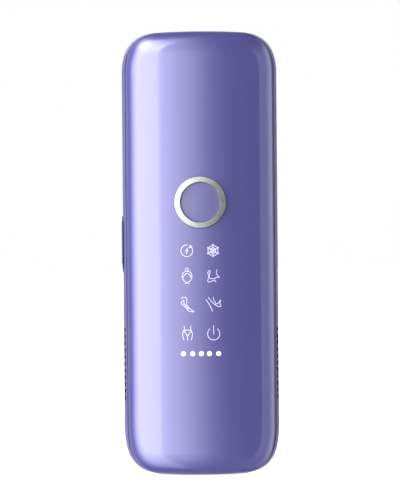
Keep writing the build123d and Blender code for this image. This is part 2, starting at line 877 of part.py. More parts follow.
with BuildPart() as fan_screws:
    with BuildSketch(Plane.XZ.offset(-fan_back_y)):
        with Locations(*fan_screws_at):
            Circle(fan_screw_head_radius)
    extrude(amount=fan_screw_head_height)
    with BuildSketch(Plane.XZ.offset(-fan_back_y + fan_screw_head_height)):
        with Locations(*fan_screws_at):
            Circle(fan_screw_radius)
    extrude(amount=fan_screw_length)
fan_screws.part.label = "fan_screws"
export_step(fan_screws.part, "parts/fan_screws.step")

with BuildPart() as fan_lead:
    with BuildLine():
        FilletPolyline(
            (fan_lead_x, fan_lead_y, fan_lead_low_z),
            (fan_lead_x, fan_lead_y, fan_lead_high_z),
            (fan_lead_x, board_back_y, fan_lead_high_z),
            radius=fan_lead_bend,
        )
    with BuildSketch(Plane.XY.offset(fan_lead_low_z)):
        with Locations((fan_lead_x, fan_lead_y)):
            Circle(fan_lead_radius)
    sweep()
fan_lead.part.label = "fan_lead"
export_step(fan_lead.part, "parts/fan_lead.step")

# ---------------------------------------------------------------- chassis and main board

with BuildPart() as chassis:
    with BuildSketch(Plane.XZ.offset(-chassis_back_y)):
        with Locations((0, (chassis_low_z + chassis_high_z) / 2)):
            Rectangle(2 * chassis_half_width, chassis_high_z - chassis_low_z)
        with Locations((0, chassis_low_z)):
            Rectangle(notch_width, 2 * notch_height, mode=Mode.SUBTRACT)
        with Locations((0, opening_z)):
            RectangleRounded(opening_width, opening_height, opening_corner, mode=Mode.SUBTRACT)
    extrude(amount=chassis_back_y - chassis_front_y)
    # Side rails that grip the heat sink below and the hot plate above
    for side in (-1, 1):
        for rail_span in rail_spans:
            block((side * rail_inner_x, side * rail_outer_x), (plate_front_y, chassis_back_y), rail_span)
    # Posts for the touch board in front and stand-offs for the main board behind
    with BuildSketch(Plane.XZ.offset(-chassis_front_y)):
        with Locations(*touch_screws_at):
            Circle(post_radius)
    extrude(amount=chassis_front_y - touch_back_y)
    with BuildSketch(Plane.XZ.offset(-board_front_y)):
        with Locations(*board_screws_at):
            Circle(post_radius)
    extrude(amount=board_front_y - chassis_back_y)
    # Arm that carries the side switch board
    arm_inner_x = side_board_x + 2 * side_board_size[0]
    block(
        (side_board_x + side_board_size[0], arm_inner_x),
        (chassis_back_y, side_arm_back_y),
        (side_z - side_arm_length / 2, side_z + side_arm_length / 2),
    )
    with BuildSketch(Plane.XZ.offset(-chassis_back_y)):
        with Locations(*case_screws):
            Circle(case_clearance_radius)
    extrude(amount=chassis_back_y - chassis_front_y + clear, mode=Mode.SUBTRACT)
    with BuildSketch(Plane.XZ.offset(-board_front_y)):
        with Locations(*board_screws_at):
            Circle(board_screw_radius)
    extrude(amount=standoff_hole_depth, mode=Mode.SUBTRACT)
    with BuildSketch(Plane.XZ.offset(-touch_back_y)):
        with Locations(*touch_screws_at):
            Circle(board_screw_radius)
    extrude(amount=-touch_screw_length, mode=Mode.SUBTRACT)
chassis.part.label = "chassis"
export_step(chassis.part, "parts/chassis.step")

with BuildPart() as chassis_screws:
    with BuildSketch(Plane.XZ.offset(-chassis_front_y)):
        with Locations(*case_screws):
            Circle(case_screw_head_radius)
    extrude(amount=case_screw_head_height)
    with BuildSketch(Plane.XZ.offset(-chassis_front_y)):
        with Locations(*case_screws):
            Circle(case_screw_radius)
    extrude(amount=-case_hole_depth)
chassis_screws.part.label = "chassis_screws"
export_step(chassis_screws.part, "parts/chassis_screws.step")

with BuildPart() as main_board:
    with BuildSketch(Plane.XZ.offset(-board_back_y)):
        with Locations((0, (board_low_z + board_high_z) / 2)):
            RectangleRounded(2 * board_half_width, board_high_z - board_low_z, board_corner)
        with Locations(*board_screws_at):
            Circle(board_screw_radius, mode=Mode.SUBTRACT)
    extrude(amount=board_back_y - board_front_y)
main_board.part.label = "main_board"
export_step(main_board.part, "parts/main_board.step")

with BuildPart() as board_screws:
    with BuildSketch(Plane.XZ.offset(-board_back_y)):
        with Locations(*board_screws_at):
            Circle(board_screw_head_radius)
    extrude(amount=-board_screw_head_height)
    with BuildSketch(Plane.XZ.offset(-board_back_y)):
        with Locations(*board_screws_at):
            Circle(board_screw_radius)
    extrude(amount=board_screw_length)
    with BuildSketch(Plane.XZ.offset(-touch_front_y)):
        with Locations(*touch_screws_at):
            Circle(board_screw_head_radius)
    extrude(amount=touch_screw_head_height)
    with BuildSketch(Plane.XZ.offset(-touch_front_y)):
        with Locations(*touch_screws_at):
            Circle(board_screw_radius)
    extrude(amount=-touch_screw_length)
board_screws.part.label = "board_screws"
export_step(board_screws.part, "parts/board_screws.step")

with BuildPart() as flash_capacitors:
    with BuildSketch(Plane.XY.offset(capacitor_low_z)):
        capacitor_y = board_back_y + capacitor_radius + capacitor_lift
        with Locations((-capacitor_x, capacitor_y), (capacitor_x, capacitor_y)):
            Circle(capacitor_radius)
    extrude(amount=capacitor_length)
    fillet(flash_capacitors.edges().filter_by(GeomType.CIRCLE), capacitor_edge_round)
flash_capacitors.part.label = "flash_capacitors"
export_step(flash_capacitors.part, "parts/flash_capacitors.step")

with BuildPart() as transformer_core:
    with BuildSketch(Plane.XZ.offset(-transformer_y - core_thickness / 2)):
        with Locations((transformer_x, transformer_z)):
            Rectangle(core_size, core_size)
            with GridLocations(2 * core_window_x, 1, 2, 1):
                Rectangle(core_window_width, core_window_height, mode=Mode.SUBTRACT)
    extrude(amount=core_thickness)
transformer_core.part.label = "transformer_core"
export_step(transformer_core.part, "parts/transformer_core.step")

with BuildPart() as transformer_winding:
    with BuildSketch(Plane.XY.offset(transformer_z - winding_height / 2)):
        with Locations((transformer_x, transformer_y)):
            RectangleRounded(winding_width, winding_depth, winding_corner)
            Rectangle(2 * core_window_x - core_window_width, core_thickness, mode=Mode.SUBTRACT)
    extrude(amount=winding_height)
transformer_winding.part.label = "transformer_winding"
export_step(transformer_winding.part, "parts/transformer_winding.step")

with BuildPart() as trigger_coil:
    with BuildSketch(Plane.XY.offset(trigger_low_z)):
        with Locations((trigger_x, board_back_y + trigger_lift)):
            Circle(trigger_radius)
    extrude(amount=trigger_length)
    with Locations((trigger_x, board_back_y + trigger_foot[1] / 2, trigger_low_z + trigger_length / 2)):
        Box(*trigger_foot)
trigger_coil.part.label = "trigger_coil"
export_step(trigger_coil.part, "parts/trigger_coil.step")

with BuildPart() as power_transistors:
    with Locations(*[(transistor_x, board_back_y + transistor_size[1] / 2, z) for z in transistor_z]):
        Box(*transistor_size)
power_transistors.part.label = "power_transistors"
export_step(power_transistors.part, "parts/power_transistors.step")

# ---------------------------------------------------------------- touch board and lights

with BuildPart() as touch_board:
    with BuildSketch(Plane.XZ.offset(-touch_back_y)):
        with Locations((0, (touch_low_z + touch_high_z) / 2)):
            RectangleRounded(2 * touch_half_width, touch_high_z - touch_low_z, touch_corner)
        with Locations(*touch_screws_at):
            Circle(board_screw_radius, mode=Mode.SUBTRACT)
    extrude(amount=touch_back_y - touch_front_y)
touch_board.part.label = "touch_board"
export_step(touch_board.part, "parts/touch_board.step")

with BuildPart() as control_chip:
    with Locations((0, touch_back_y + control_chip_size[1] / 2, control_chip_z)):
        Box(*control_chip_size)
control_chip.part.label = "control_chip"
export_step(control_chip.part, "parts/control_chip.step")

with BuildPart() as board_connectors:
    with Locations((0, touch_back_y + connector_size[1] / 2, touch_connector_z)):
        Box(*connector_size)
    with Locations((0, board_back_y + connector_size[1] / 2, board_connector_z)):
        Box(*connector_size)
board_connectors.part.label = "board_connectors"
export_step(board_connectors.part, "parts/board_connectors.step")

touch_end_y = touch_back_y + connector_size[1] / 2
board_end_y = board_back_y + connector_size[1] / 2
loop_z = 61.2
with BuildPart() as ribbon_cable:
    with BuildSketch(Plane.YZ.offset(-ribbon_width / 2)):
        with BuildLine():
            FilletPolyline(
                (touch_end_y, touch_connector_z - connector_size[2] / 2),
                (touch_end_y, loop_z),
                (board_end_y, loop_z),
                (board_end_y, board_connector_z - connector_size[2] / 2),
                radius=ribbon_bend,
            )
            offset(amount=ribbon_thickness, side=Side.LEFT)
        make_face()
    extrude(amount=ribbon_width)
ribbon_cable.part.label = "ribbon_cable"
export_step(ribbon_cable.part, "parts/ribbon_cable.step")

with BuildPart() as light_guide:
    with BuildSketch(Plane.XZ.offset(-touch_front_y)):
        with Locations((0, (guide_low_z + guide_high_z) / 2)):
            RectangleRounded(guide_width, guide_high_z - guide_low_z, guide_corner)
        with Locations(*[(x, z) for x in icon_x for z in icon_z]):
            Circle(icon_well_radius, mode=Mode.SUBTRACT)
        with Locations(*[(x, light_z) for x in light_x]):
            Circle(light_well_radius, mode=Mode.SUBTRACT)
    extrude(amount=touch_front_y - guide_front_y)
light_guide.part.label = "light_guide"
export_step(light_guide.part, "parts/light_guide.step")

with BuildPart() as diffuser_film:
    with BuildSketch(Plane.XZ.offset(-guide_front_y)):
        with Locations((0, (film_low_z + guide_high_z) / 2)):
            RectangleRounded(guide_width, guide_high_z - film_low_z, guide_corner)
    extrude(amount=film_thickness)
diffuser_film.part.label = "diffuser_film"
export_step(diffuser_film.part, "parts/diffuser_film.step")

with BuildPart() as level_lights:
    with BuildSketch(Plane.XZ.offset(-guide_front_y)):
        with Locations(*[(x, light_z) for x in light_x]):
            Circle(light_radius)
    extrude(amount=light_length)
    add(cover_body(0), mode=Mode.INTERSECT)
level_lights.part.label = "level_lights"
export_step(level_lights.part, "parts/level_lights.step")

with BuildPart() as touch_leds:
    led_y = touch_front_y - led_size[1] / 2
    with Locations(*[(x, led_y, z) for x in icon_x for z in icon_z]):
        Box(*led_size)
    with Locations(*[(x, led_y, light_z) for x in light_x]):
        Box(*led_size)
touch_leds.part.label = "touch_leds"
export_step(touch_leds.part, "parts/touch_leds.step")

# ---------------------------------------------------------------- main button

button_axis = Axis((0, 0, button_z), (0, 1, 0))

with BuildPart() as button_ring:
    with BuildSketch(Plane.XY.offset(button_z)):
        with BuildLine():
            Polyline(
                (ring_inner_radius, ring_front_y),
                (ring_outer_radius, ring_outer_front_y),
                (ring_outer_radius, ring_seat_y),
                (ring_sleeve_radius, ring_seat_y),
                (ring_sleeve_radius, ring_sleeve_end_y),
                (ring_inner_radius, ring_sleeve_end_y),
                close=True,
            )
        make_face()
    revolve(axis=button_axis)
    fillet(button_ring.edges().filter_by(GeomType.CIRCLE).sort_by(Axis.Y)[:2], ring_edge_round)
button_ring.part.label = "button_ring"
export_step(button_ring.part, "parts/button_ring.step")

# The button's face follows the arch of the cover a little below it.
with BuildPart() as main_button:
    with BuildSketch(Plane.XZ.offset(-button_flange_y)):
        with Locations((0, button_z)):
            Circle(button_radius)
    extrude(amount=button_flange_y - crest_y)
    add(cover_body(button_depth), mode=Mode.INTERSECT)
    fillet(main_button.faces().sort_by(Axis.Y)[0].edges(), button_edge_round)
    with BuildSketch(Plane.XZ.offset(-button_back_y)):
        with Locations((0, button_z)):
            Circle(button_flange_radius)
    extrude(amount=button_back_y - button_flange_y)
main_button.part.label = "main_button"
export_step(main_button.part, "parts/main_button.step")

with BuildPart() as button_spring:
    with BuildLine():
        spring_wire = Helix(
            pitch=spring_pitch,
            height=spring_height,
            radius=spring_radius,
            center=(0, button_back_y + spring_gap, button_z),
            direction=(0, 1, 0),
        )
    with BuildSketch(Plane(spring_wire @ 0, z_dir=spring_wire % 0)):
        Circle(spring_wire_radius)
    sweep()
button_spring.part.label = "button_spring"
export_step(button_spring.part, "parts/button_spring.step")

with BuildPart() as button_switch_body:
    with Locations((0, touch_front_y - switch_thickness / 2, button_z)):
        Box(switch_size, switch_thickness, switch_size)
    with BuildSketch(Plane.XZ.offset(-touch_front_y + switch_thickness - switch_well_depth)):
        with Locations((0, button_z)):
            Circle(switch_well_radius)
    extrude(amount=switch_thickness, mode=Mode.SUBTRACT)
button_switch_body.part.label = "button_switch_body"
export_step(button_switch_body.part, "parts/button_switch_body.step")

with BuildPart() as button_switch_plunger:
    with BuildSketch(Plane.XZ.offset(-plunger_back_y)):
        with Locations((0, button_z)):
            Circle(plunger_radius)
    extrude(amount=plunger_back_y - button_back_y)
button_switch_plunger.part.label = "button_switch_plunger"
export_step(button_switch_plunger.part, "parts/button_switch_plunger.step")

# ---------------------------------------------------------------- side button

bezel_face_x = -body_half_width - side_bezel_proud
inner_wall_x = -body_half_width + wall

with BuildPart() as side_button_bezel:
    with BuildSketch(Plane.YZ.offset(bezel_face_x)):
        with Locations((side_y, side_z)):
            SlotOverall(side_bezel_length, side_bezel_width, rotation=90)
    extrude(amount=inner_wall_x - bezel_face_x)
    chamfer(side_button_bezel.faces().sort_by(Axis.X)[0].edges(), side_bezel_chamfer)
    with BuildSketch(Plane.YZ.offset(inner_wall_x)):
        with Locations((side_y, side_z)):
            SlotOverall(
                side_bezel_length + side_flange_border,
                side_bezel_width + side_flange_border,
                rotation=90,
            )
    extrude(amount=side_flange_thickness)
    with BuildSketch(Plane.YZ.offset(bezel_face_x - clear)):
        with Locations((side_y, side_button_z)):
            SlotOverall(
                side_button_length + 2 * side_gap,
                side_button_width + 2 * side_gap,
                rotation=90,
            )
    extrude(amount=side_slot_depth + clear, mode=Mode.SUBTRACT)
    add(rear_shell.part, mode=Mode.SUBTRACT)
side_button_bezel.part.label = "side_button_bezel"
export_step(side_button_bezel.part, "parts/side_button_bezel.step")

with BuildPart() as side_button:
    with BuildSketch(Plane.YZ.offset(side_button_face_x)):
        with Locations((side_y, side_button_z)):
            SlotOverall(side_button_length, side_button_width, rotation=90)
    extrude(amount=side_button_flange_x - side_button_face_x)
    fillet(side_button.faces().sort_by(Axis.X)[0].edges(), side_button_edge_round)
    with BuildSketch(Plane.YZ.offset(side_button_flange_x)):
        with Locations((side_y, side_button_z)):
            SlotOverall(
                side_button_length + side_button_flange_border,
                side_button_width + side_button_flange_border,
                rotation=90,
            )
    extrude(amount=side_button_flange_thickness)
side_button.part.label = "side_button"
export_step(side_button.part, "parts/side_button.step")

with BuildPart() as side_switch_board:
    with Locations((side_board_x + side_board_size[0] / 2, side_y, side_z)):
        Box(*side_board_size)
side_switch_board.part.label = "side_switch_board"
export_step(side_switch_board.part, "parts/side_switch_board.step")

with BuildPart() as side_switch_body:
    with Locations((side_switch_front_x + switch_thickness / 2, side_y, side_button_z)):
        Box(switch_thickness, switch_size, switch_size)
    with BuildSketch(Plane.YZ.offset(side_switch_well_x)):
        with Locations((side_y, side_button_z)):
            Circle(side_switch_well_radius)
    extrude(amount=-switch_thickness, mode=Mode.SUBTRACT)
side_switch_body.part.label = "side_switch_body"
export_step(side_switch_body.part, "parts/side_switch_body.step")

with BuildPart() as side_switch_plunger:
    with BuildSketch(Plane.YZ.offset(side_plunger_x)):
        with Locations((side_y, side_button_z)):
            Circle(side_plunger_radius)
    extrude(amount=side_plunger_length)
side_switch_plunger.part.label = "side_switch_plunger"
export_step(side_switch_plunger.part, "parts/side_switch_plunger.step")

# ---------------------------------------------------------------- power inlet

with BuildPart() as dc_jack:
    with BuildSketch(Plane.XY.offset(jack_neck_low_z)):
        with Locations((0, jack_y)):
            Circle(jack_neck_radius)
    extrude(amount=wall)
    with BuildSketch(Plane.XY.offset(wall)):
        with Locations((0, jack_y)):
            Circle(jack_radius)
    extrude(amount=jack_top_z - wall)
    with BuildSketch(Plane.XY):
        with Locations((0, jack_y)):
            Circle(jack_bore)
    extrude(amount=jack_bore_depth, mode=Mode.SUBTRACT)
    with BuildSketch(Plane.XY.offset(jack_bore_depth)):
        with Locations((0, jack_y)):
            Circle(jack_pin_root_radius)
    extrude(amount=jack_pin_root_length, mode=Mode.SUBTRACT)
dc_jack.part.label = "dc_jack"
export_step(dc_jack.part, "parts/dc_jack.step")

with BuildPart() as dc_jack_pin:
    with BuildSketch(Plane.XY.offset(jack_pin_low_z)):
        with Locations((0, jack_y)):
            Circle(jack_pin_radius)
    extrude(amount=jack_bore_depth - jack_pin_low_z)
    fillet(dc_jack_pin.edges().sort_by(Axis.Z)[0], jack_pin_edge_round)
    # Its wider root is held in the socket's floor.
    with BuildSketch(Plane.XY.offset(jack_bore_depth)):
        with Locations((0, jack_y)):
            Circle(jack_pin_root_radius)
    extrude(amount=jack_pin_root_length)
dc_jack_pin.part.label = "dc_jack_pin"
export_step(dc_jack_pin.part, "parts/dc_jack_pin.step")

with BuildPart() as jack_lead:
    with BuildLine():
        FilletPolyline(
            (jack_lead_x, jack_y, jack_top_z),
            (jack_lead_x, jack_y, jack_lead_turn_z),
            (jack_lead_side_x, jack_lead_side_y, jack_lead_turn_z),
            (jack_lead_side_x, jack_lead_side_y, jack_lead_pad_z),
            (jack_lead_pad_x, jack_lead_side_y, jack_lead_pad_z),
            (jack_lead_pad_x, board_back_y, jack_lead_pad_z),
            radius=jack_lead_bend,
        )
    with BuildSketch(Plane.XY.offset(jack_top_z)):
        with Locations((jack_lead_x, jack_y)):
            Circle(jack_lead_radius)
    sweep()
jack_lead.part.label = "jack_lead"
export_step(jack_lead.part, "parts/jack_lead.step")
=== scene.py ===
"""Looks of the flash-lamp hair remover: shells, controls, lit signs, materials, studio and camera."""

import math

import bpy
import numpy as np
from mathutils.geometry import delaunay_2d_cdt
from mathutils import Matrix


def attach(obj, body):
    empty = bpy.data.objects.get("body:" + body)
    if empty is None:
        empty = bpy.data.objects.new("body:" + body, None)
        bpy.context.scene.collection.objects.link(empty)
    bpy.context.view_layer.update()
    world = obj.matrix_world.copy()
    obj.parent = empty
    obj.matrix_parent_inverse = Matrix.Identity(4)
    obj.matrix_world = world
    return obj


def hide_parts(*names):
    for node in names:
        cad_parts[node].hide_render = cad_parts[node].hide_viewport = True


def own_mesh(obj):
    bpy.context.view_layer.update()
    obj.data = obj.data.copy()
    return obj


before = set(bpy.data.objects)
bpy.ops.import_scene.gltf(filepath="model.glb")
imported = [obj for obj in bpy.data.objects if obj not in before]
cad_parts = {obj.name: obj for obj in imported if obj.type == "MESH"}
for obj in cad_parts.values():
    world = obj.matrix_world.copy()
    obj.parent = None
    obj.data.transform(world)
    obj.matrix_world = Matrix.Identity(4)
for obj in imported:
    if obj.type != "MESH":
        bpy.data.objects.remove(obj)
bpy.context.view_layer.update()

# All shapes are worked out in millimetres, in the CAD's frame, and scaled when a mesh is made.
MM = 0.001

# Body, as in the CAD
body_height = 160.0
body_half_width = 28.0
cover_half_width = 26.5
crest_y = -18.0
parting_y = -6.0
full_width_y = 0.0
back_y = 19.0
wall = 2.0
arch_radius = 60.0
arch_axis_y = crest_y + arch_radius
edge_round = 8.0
base_flat_depth = 0.15
top_corner = dict(side_drop=15.0, crown_inset=11.5, crown_radius=310.0, side_pull=0.65, crown_pull=0.64)
low_corner = dict(side_drop=19.5, crown_inset=12.5, crown_radius=245.0, side_pull=0.53, crown_pull=0.90)

# Fineness of the shells
crown_steps = 10
corner_steps = 28
side_steps = 60
round_steps = 14
front_spot_x = np.arange(-25, 25.1, 1.25)
front_spot_z = np.arange(4, 157, 2.5)
opening_spot_step = (1.0, 1.6)
opening_spot_margin = 0.35
rear_levels = [-5.45, -4.6, -3.8, -2.4, -1.0, -0.5, 0.0, 0.5, 1.0, 3.5, 6.5, 9.6, 11.0]

# Distance from its axis at which a turned profile starts, and the same for a small one
axis_gap = 0.05
small_axis_gap = 0.02

# Gap between the shells
cover_edge_round = 0.35
rear_edge_round = 0.12
rear_edge_share = 0.37
rear_edge_y = rear_levels[0]
groove_floor_y = -4.9
rim_step = 0.5

# Inside of the shells
lip_height = 1.5
lip_thickness = 1.0
lip_clearance = 0.15
ledge_depth = 1.2
ledge_root = 1.2
hook_z = (24.0, 80.0, 132.0)
hook_width = 5.0
# Root, leg and barb of a hook: their inner and outer X, then their front and back Y
hook_blocks = (
    (22.1, 24.4, -9.5, -7.7),
    (22.1, 23.2, -8.7, -3.2),
    (23.2, 24.1, -4.7, -3.2),
)
case_screws = [(x, z) for x in (-15.0, 15.0) for z in (63.0, 134.1)]
case_boss_radius = 2.3
case_screw_radius = 0.9
case_hole_depth = 9.0
chassis_back_y = -1.8

# Main button, its ring and its spring
button_z = 98.2
ring_recess_radius = 9.32
ring_recess_roll = 0.15
ring_sleeve_radius = 8.5
ring_seat_y = -17.0
spring_front_y = -15.2
spring_back_y = -12.2
spring_radius = 5.4
spring_wire_radius = 0.18
spring_turns = 3

# Level lights and touch signs
light_z = 43.8
light_x = (-6.5, -3.1, 0.0, 2.9, 6.2)
light_radius = 0.9
light_roll = 0.12
lens_radius = 0.86
lens_depth = 2.2
icon_x = (-4.9, 4.5)
icon_z = (51.1, 61.4, 71.7, 80.8)
sign_width = 0.22
bold_sign_width = 0.25
sign_height = 0.02

# Side button
side_y = 2.0
side_z = 83.45
side_bezel_length = 20.5
side_bezel_width = 6.5
side_bezel_proud = 0.22
side_bezel_clearance = 0.1
side_button_z = 84.0
side_button_length = 15.6
side_button_width = 3.4
side_button_gap = 0.2

# Air slots
slot_y = 0.7
slot_count = 11
slot_pitch = 2.44
slot_height = 1.77
slot_length = 9.0
slot_z = [40.1 + (k - (slot_count - 1) / 2) * slot_pitch for k in range(slot_count)]

# Ends
head_y = 3.8
bezel_length = 37.0
bezel_width = 13.6
bezel_corner = 4.0
jack_y = 4.0
jack_hole_radius = 4.0

left = np.array((-1.0, 0.0, 0.0))
backward = np.array((0.0, 1.0, 0.0))
quarter = math.pi / 2


# ---------------------------------------------------------------- meshes


def new_object(name, data):
    made = bpy.data.objects.new(name, data)
    bpy.context.scene.collection.objects.link(made)
    return made


def unit(vectors):
    vectors = np.asarray(vectors, float)
    return vectors / np.linalg.norm(vectors, axis=-1, keepdims=True)


class Skin:
    """Points with their own normals, and the faces between them."""

    def __init__(self):
        self.points = []
        self.normals = []
        self.faces = []

    def add(self, points, normals):
        """Adds a row of points, with a normal each or one for all, and gives their numbers."""
        first = len(self.points)
        points = np.array(points, float)
        self.points += list(points)
        self.normals += list(unit(np.broadcast_to(normals, points.shape)))
        return list(range(first, len(self.points)))

    def band(self, low, high, closed=True):
        count = len(low)
        for i in range(count if closed else count - 1):
            j = (i + 1) % count
            self.faces.append((low[i], low[j], high[j], high[i]))

    def bands(self, rows, closed=True):
        for low, high in zip(rows, rows[1:]):
            self.band(low, high, closed)

    def strip(self, low, high, normals):
        """A band on points of its own, so that both its edges are sharp."""
        self.band(self.add(low, normals), self.add(high, normals))

    def close(self, *rows):
        """A face across each of the rows."""
        self.faces += [tuple(row) for row in rows]

    def lid(self, points, normal):
        """A flat face on points of its own."""
        self.close(self.add(points, normal))

    def rounding(self, centres, radius, first, last, turns):
        """Rows of an edge rounded about its centre line, turning from the first direction to the last."""
        rows = []
        for turn in turns:
            normals = first * math.cos(turn) + last * math.sin(turn)
            rows.append(self.add(above_base(centres + radius * normals), normals))
        return rows

    def make(self, name, body, slot, *replaced, look=None):
        """Makes the object, in the slot's own material or in another look of it.

        Each face turns to the side that its points' normals show.
        """
        points = np.array(self.points)
        normals = np.array(self.normals)
        faces = []
        for face in self.faces:
            corners = points[list(face)]
            spokes = corners - corners.mean(0)
            area = np.cross(spokes, np.roll(spokes, -1, 0)).sum(0)
            turned_over = area @ normals[list(face)].sum(0) < 0
            faces.append(face[::-1] if turned_over else face)
        mesh = bpy.data.meshes.new(name)
        mesh.from_pydata((points * MM).tolist(), [], faces)
        mesh.polygons.foreach_set("use_smooth", [True] * len(faces))
        mesh.normals_split_custom_set_from_vertices(normals.tolist())
        piece = new_object(name, mesh)
        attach(piece, body)
        if replaced:
            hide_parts(*replaced)
        mesh.materials.append(materials[look or slot])
        return piece


def directions(turns):
    return np.column_stack([np.cos(turns), np.sin(turns)])


def inside(spots, loop):
    """Which of the spots lie inside the loop."""
    a = loop
    b = np.roll(loop, -1, 0)
    x = spots[:, None, 0]
    y = spots[:, None, 1]
    straddles = (a[:, 1] > y) != (b[:, 1] > y)
    rise = np.where(b[:, 1] == a[:, 1], 1.0, b[:, 1] - a[:, 1])
    crossing = a[:, 0] + (y - a[:, 1]) / rise * (b[:, 0] - a[:, 0])
    return (straddles & (x < crossing)).sum(1) % 2 == 1


def near(spots, loop, distance):
    gaps = np.linalg.norm(spots[:, None] - loop, axis=2)
    return gaps.min(1) < distance


def on_surface(lift, spots, *depth):
    """Points and normals of a surface at spots of its plane."""
    pairs = [lift(a, b, *depth) for a, b in spots]
    return np.array([point for point, _ in pairs]), np.array([normal for _, normal in pairs])


def below(lift):
    """The inner face of a wall, from the function of its outer face."""
    def lift_inner(a, b):
        point, normal = lift(a, b, wall)
        return point, -normal
    return lift_inner


def fill(skin, ring, axes, lift, holes, spots, margin=0.5):
    """Fills a ring of points with triangles that leave the holes; gives each hole's edge.

    The triangles are found in the plane of the two axes, and lift puts a spot of it on the surface.
    """
    outer = np.array([skin.points[i][list(axes)] for i in ring])
    keep = inside(spots, outer) & ~near(spots, outer, margin)
    for hole in holes:
        keep &= ~inside(spots, hole) & ~near(spots, hole, margin)
    loops = [outer, *holes]
    ids = list(ring)
    for extra in (*holes, spots[keep]):
        if len(extra):
            ids += skin.add(*on_surface(lift, extra))
    edges = []
    rims = []
    start = 0
    for loop in loops:
        count = len(loop)
        edges += [(start + i, start + (i + 1) % count) for i in range(count)]
        rims.append(ids[start:start + count])
        start += count
    plane = np.vstack([*loops, spots[keep]])
    verts, _, faces, origins, _, _ = delaunay_2d_cdt(plane.tolist(), edges, [], 0, 1e-7)
    centres = np.array([[tuple(verts[v]) for v in face] for face in faces]).mean(1)
    shown = inside(centres, outer)
    for hole in holes:
        shown &= ~inside(centres, hole)
    for face, is_shown in zip(faces, shown):
        if is_shown:
            skin.faces.append(tuple(ids[origins[v][0]] for v in face))
    return rims[1:]


def pill(centre, length, width, upright, arc_steps=9, run_steps=10):
    """A slot's edge in a plane and its outward directions; the slot lies along the first axis."""
    half = (length - width) / 2
    cap = directions(np.linspace(-quarter, quarter, arc_steps + 1))
    run = np.linspace(1, -1, run_steps + 1)[1:-1, None] * (half, 0)
    side_away = np.tile((0.0, 1.0), (len(run), 1))
    cap_core = np.tile((half, 0.0), (len(cap), 1))
    away = np.vstack([cap, side_away, -cap, -side_away])
    core = np.vstack([cap_core, run, -cap_core, -run])
    edge = core + away * width / 2
    if upright:
        edge = edge[:, ::-1] * (-1, 1)
        away = away[:, ::-1] * (-1, 1)
    return edge + centre, away


def round_rect(centre, length, width, corner_radius, arc_steps=8, run_steps=14):
    """A rounded rectangle's edge in a plane and its outward directions."""
    edge = []
    away = []
    half = np.array((length, width)) / 2 - corner_radius
    signs = [(1, 1), (-1, 1), (-1, -1), (1, -1)]
    for number, sign in enumerate(signs):
        for k in range(arc_steps + 1):
            turn = quarter * (number + k / arc_steps)
            away.append((math.cos(turn), math.sin(turn)))
            edge.append(half * sign + corner_radius * np.array(away[-1]))
        following = half * signs[(number + 1) % 4] + corner_radius * np.array(away[-1])
        for k in range(1, run_steps):
            edge.append(edge[-k] + (following - edge[-k]) * k / run_steps)
            away.append(away[-1])
    return np.array(edge) + centre, np.array(away)


def circle(centre, radius, count=48):
    away = directions(np.linspace(0, 2 * math.pi, count, endpoint=False))
    return away * radius + centre, away


def rolled_edge(skin, rim, edge, away, lift, roll, depth, steps=4):
    """Rounds a hole's edge and takes its wall inwards to a depth."""
    rows = [rim]
    turns = np.linspace(0, quarter, steps + 1)[1:]
    sinks = [*(roll * (1 - np.cos(turns))), depth]
    for turn, sink in zip([*turns, quarter], sinks):
        points = []
        normals = []
        for (a, b), (da, db) in zip(edge, away):
            point, normal, outward = surface_frame(lift, a, b, da, db, roll * (1 - math.sin(turn)))
            points.append(point - normal * sink)
            normals.append(normal * math.cos(turn) - outward * math.sin(turn))
        rows.append(skin.add(points, normals))
    skin.bands(rows)


def surface_frame(lift, a, b, da, db, distance):
    """Point, normal and outward direction of a surface, at a distance from a hole's edge."""
    tiny = 0.01
    point, normal = lift(a + da * distance, b + db * distance)
    beyond, _ = lift(a + da * (distance + tiny), b + db * (distance + tiny))
    outward = beyond - point
    outward = outward - normal * (outward @ normal)
    return point, normal, unit(outward)


# ---------------------------------------------------------------- outline of the body


def bezier(points, t):
    t = np.asarray(t)[:, None]
    a, b, c, d = np.asarray(points)
    return (1 - t) ** 3 * a + 3 * (1 - t) ** 2 * t * b + 3 * (1 - t) * t**2 * c + t**3 * d


def corner(half_width, end, way, side_drop, crown_inset, crown_radius, side_pull, crown_pull):
    """Four Bezier points from the straight side to the crowned end; way is 1 up, -1 down."""
    crown_end = half_width - crown_inset
    reach = (crown_radius**2 - crown_end**2) ** 0.5
    fall = crown_radius - reach
    slope = crown_end / reach
    side_point = (half_width, end - way * side_drop)
    crown_point = (crown_end, end - way * fall)
    apex_z = end - way * (fall + slope * (half_width - crown_end))
    side_handle = (half_width, side_point[1] + (apex_z - side_point[1]) * side_pull)
    crown_handle = (
        crown_point[0] + (half_width - crown_point[0]) * crown_pull,
        crown_point[1] + (apex_z - crown_point[1]) * crown_pull,
    )
    return [side_point, side_handle, crown_handle, crown_point]


def crown(end, way, crown_radius, x):
    x = np.asarray(x)
    return np.column_stack([x, end - way * (crown_radius - np.sqrt(crown_radius**2 - x**2))])


def outline(half_width):
    """The outline seen from the front: from the base's middle up the right side and back down."""
    top = corner(half_width, body_height, 1, **top_corner)
    low = corner(half_width, -base_flat_depth, -1, **low_corner)
    crown_shares = np.arange(crown_steps) / crown_steps
    corner_shares = np.arange(corner_steps) / corner_steps
    side_shares = (np.arange(side_steps) / side_steps)[:, None]
    right = np.vstack([
        crown(-base_flat_depth, -1, low_corner["crown_radius"], low[3][0] * crown_shares),
        bezier(low[::-1], corner_shares),
        np.array(low[0]) * (1 - side_shares) + np.array(top[0]) * side_shares,
        bezier(top, corner_shares),
        crown(body_height, 1, top_corner["crown_radius"], top[3][0] * (1 - crown_shares)),
        [(0.0, body_height)],
    ])
    return np.vstack([right, right[-2:0:-1] * (-1, 1)])


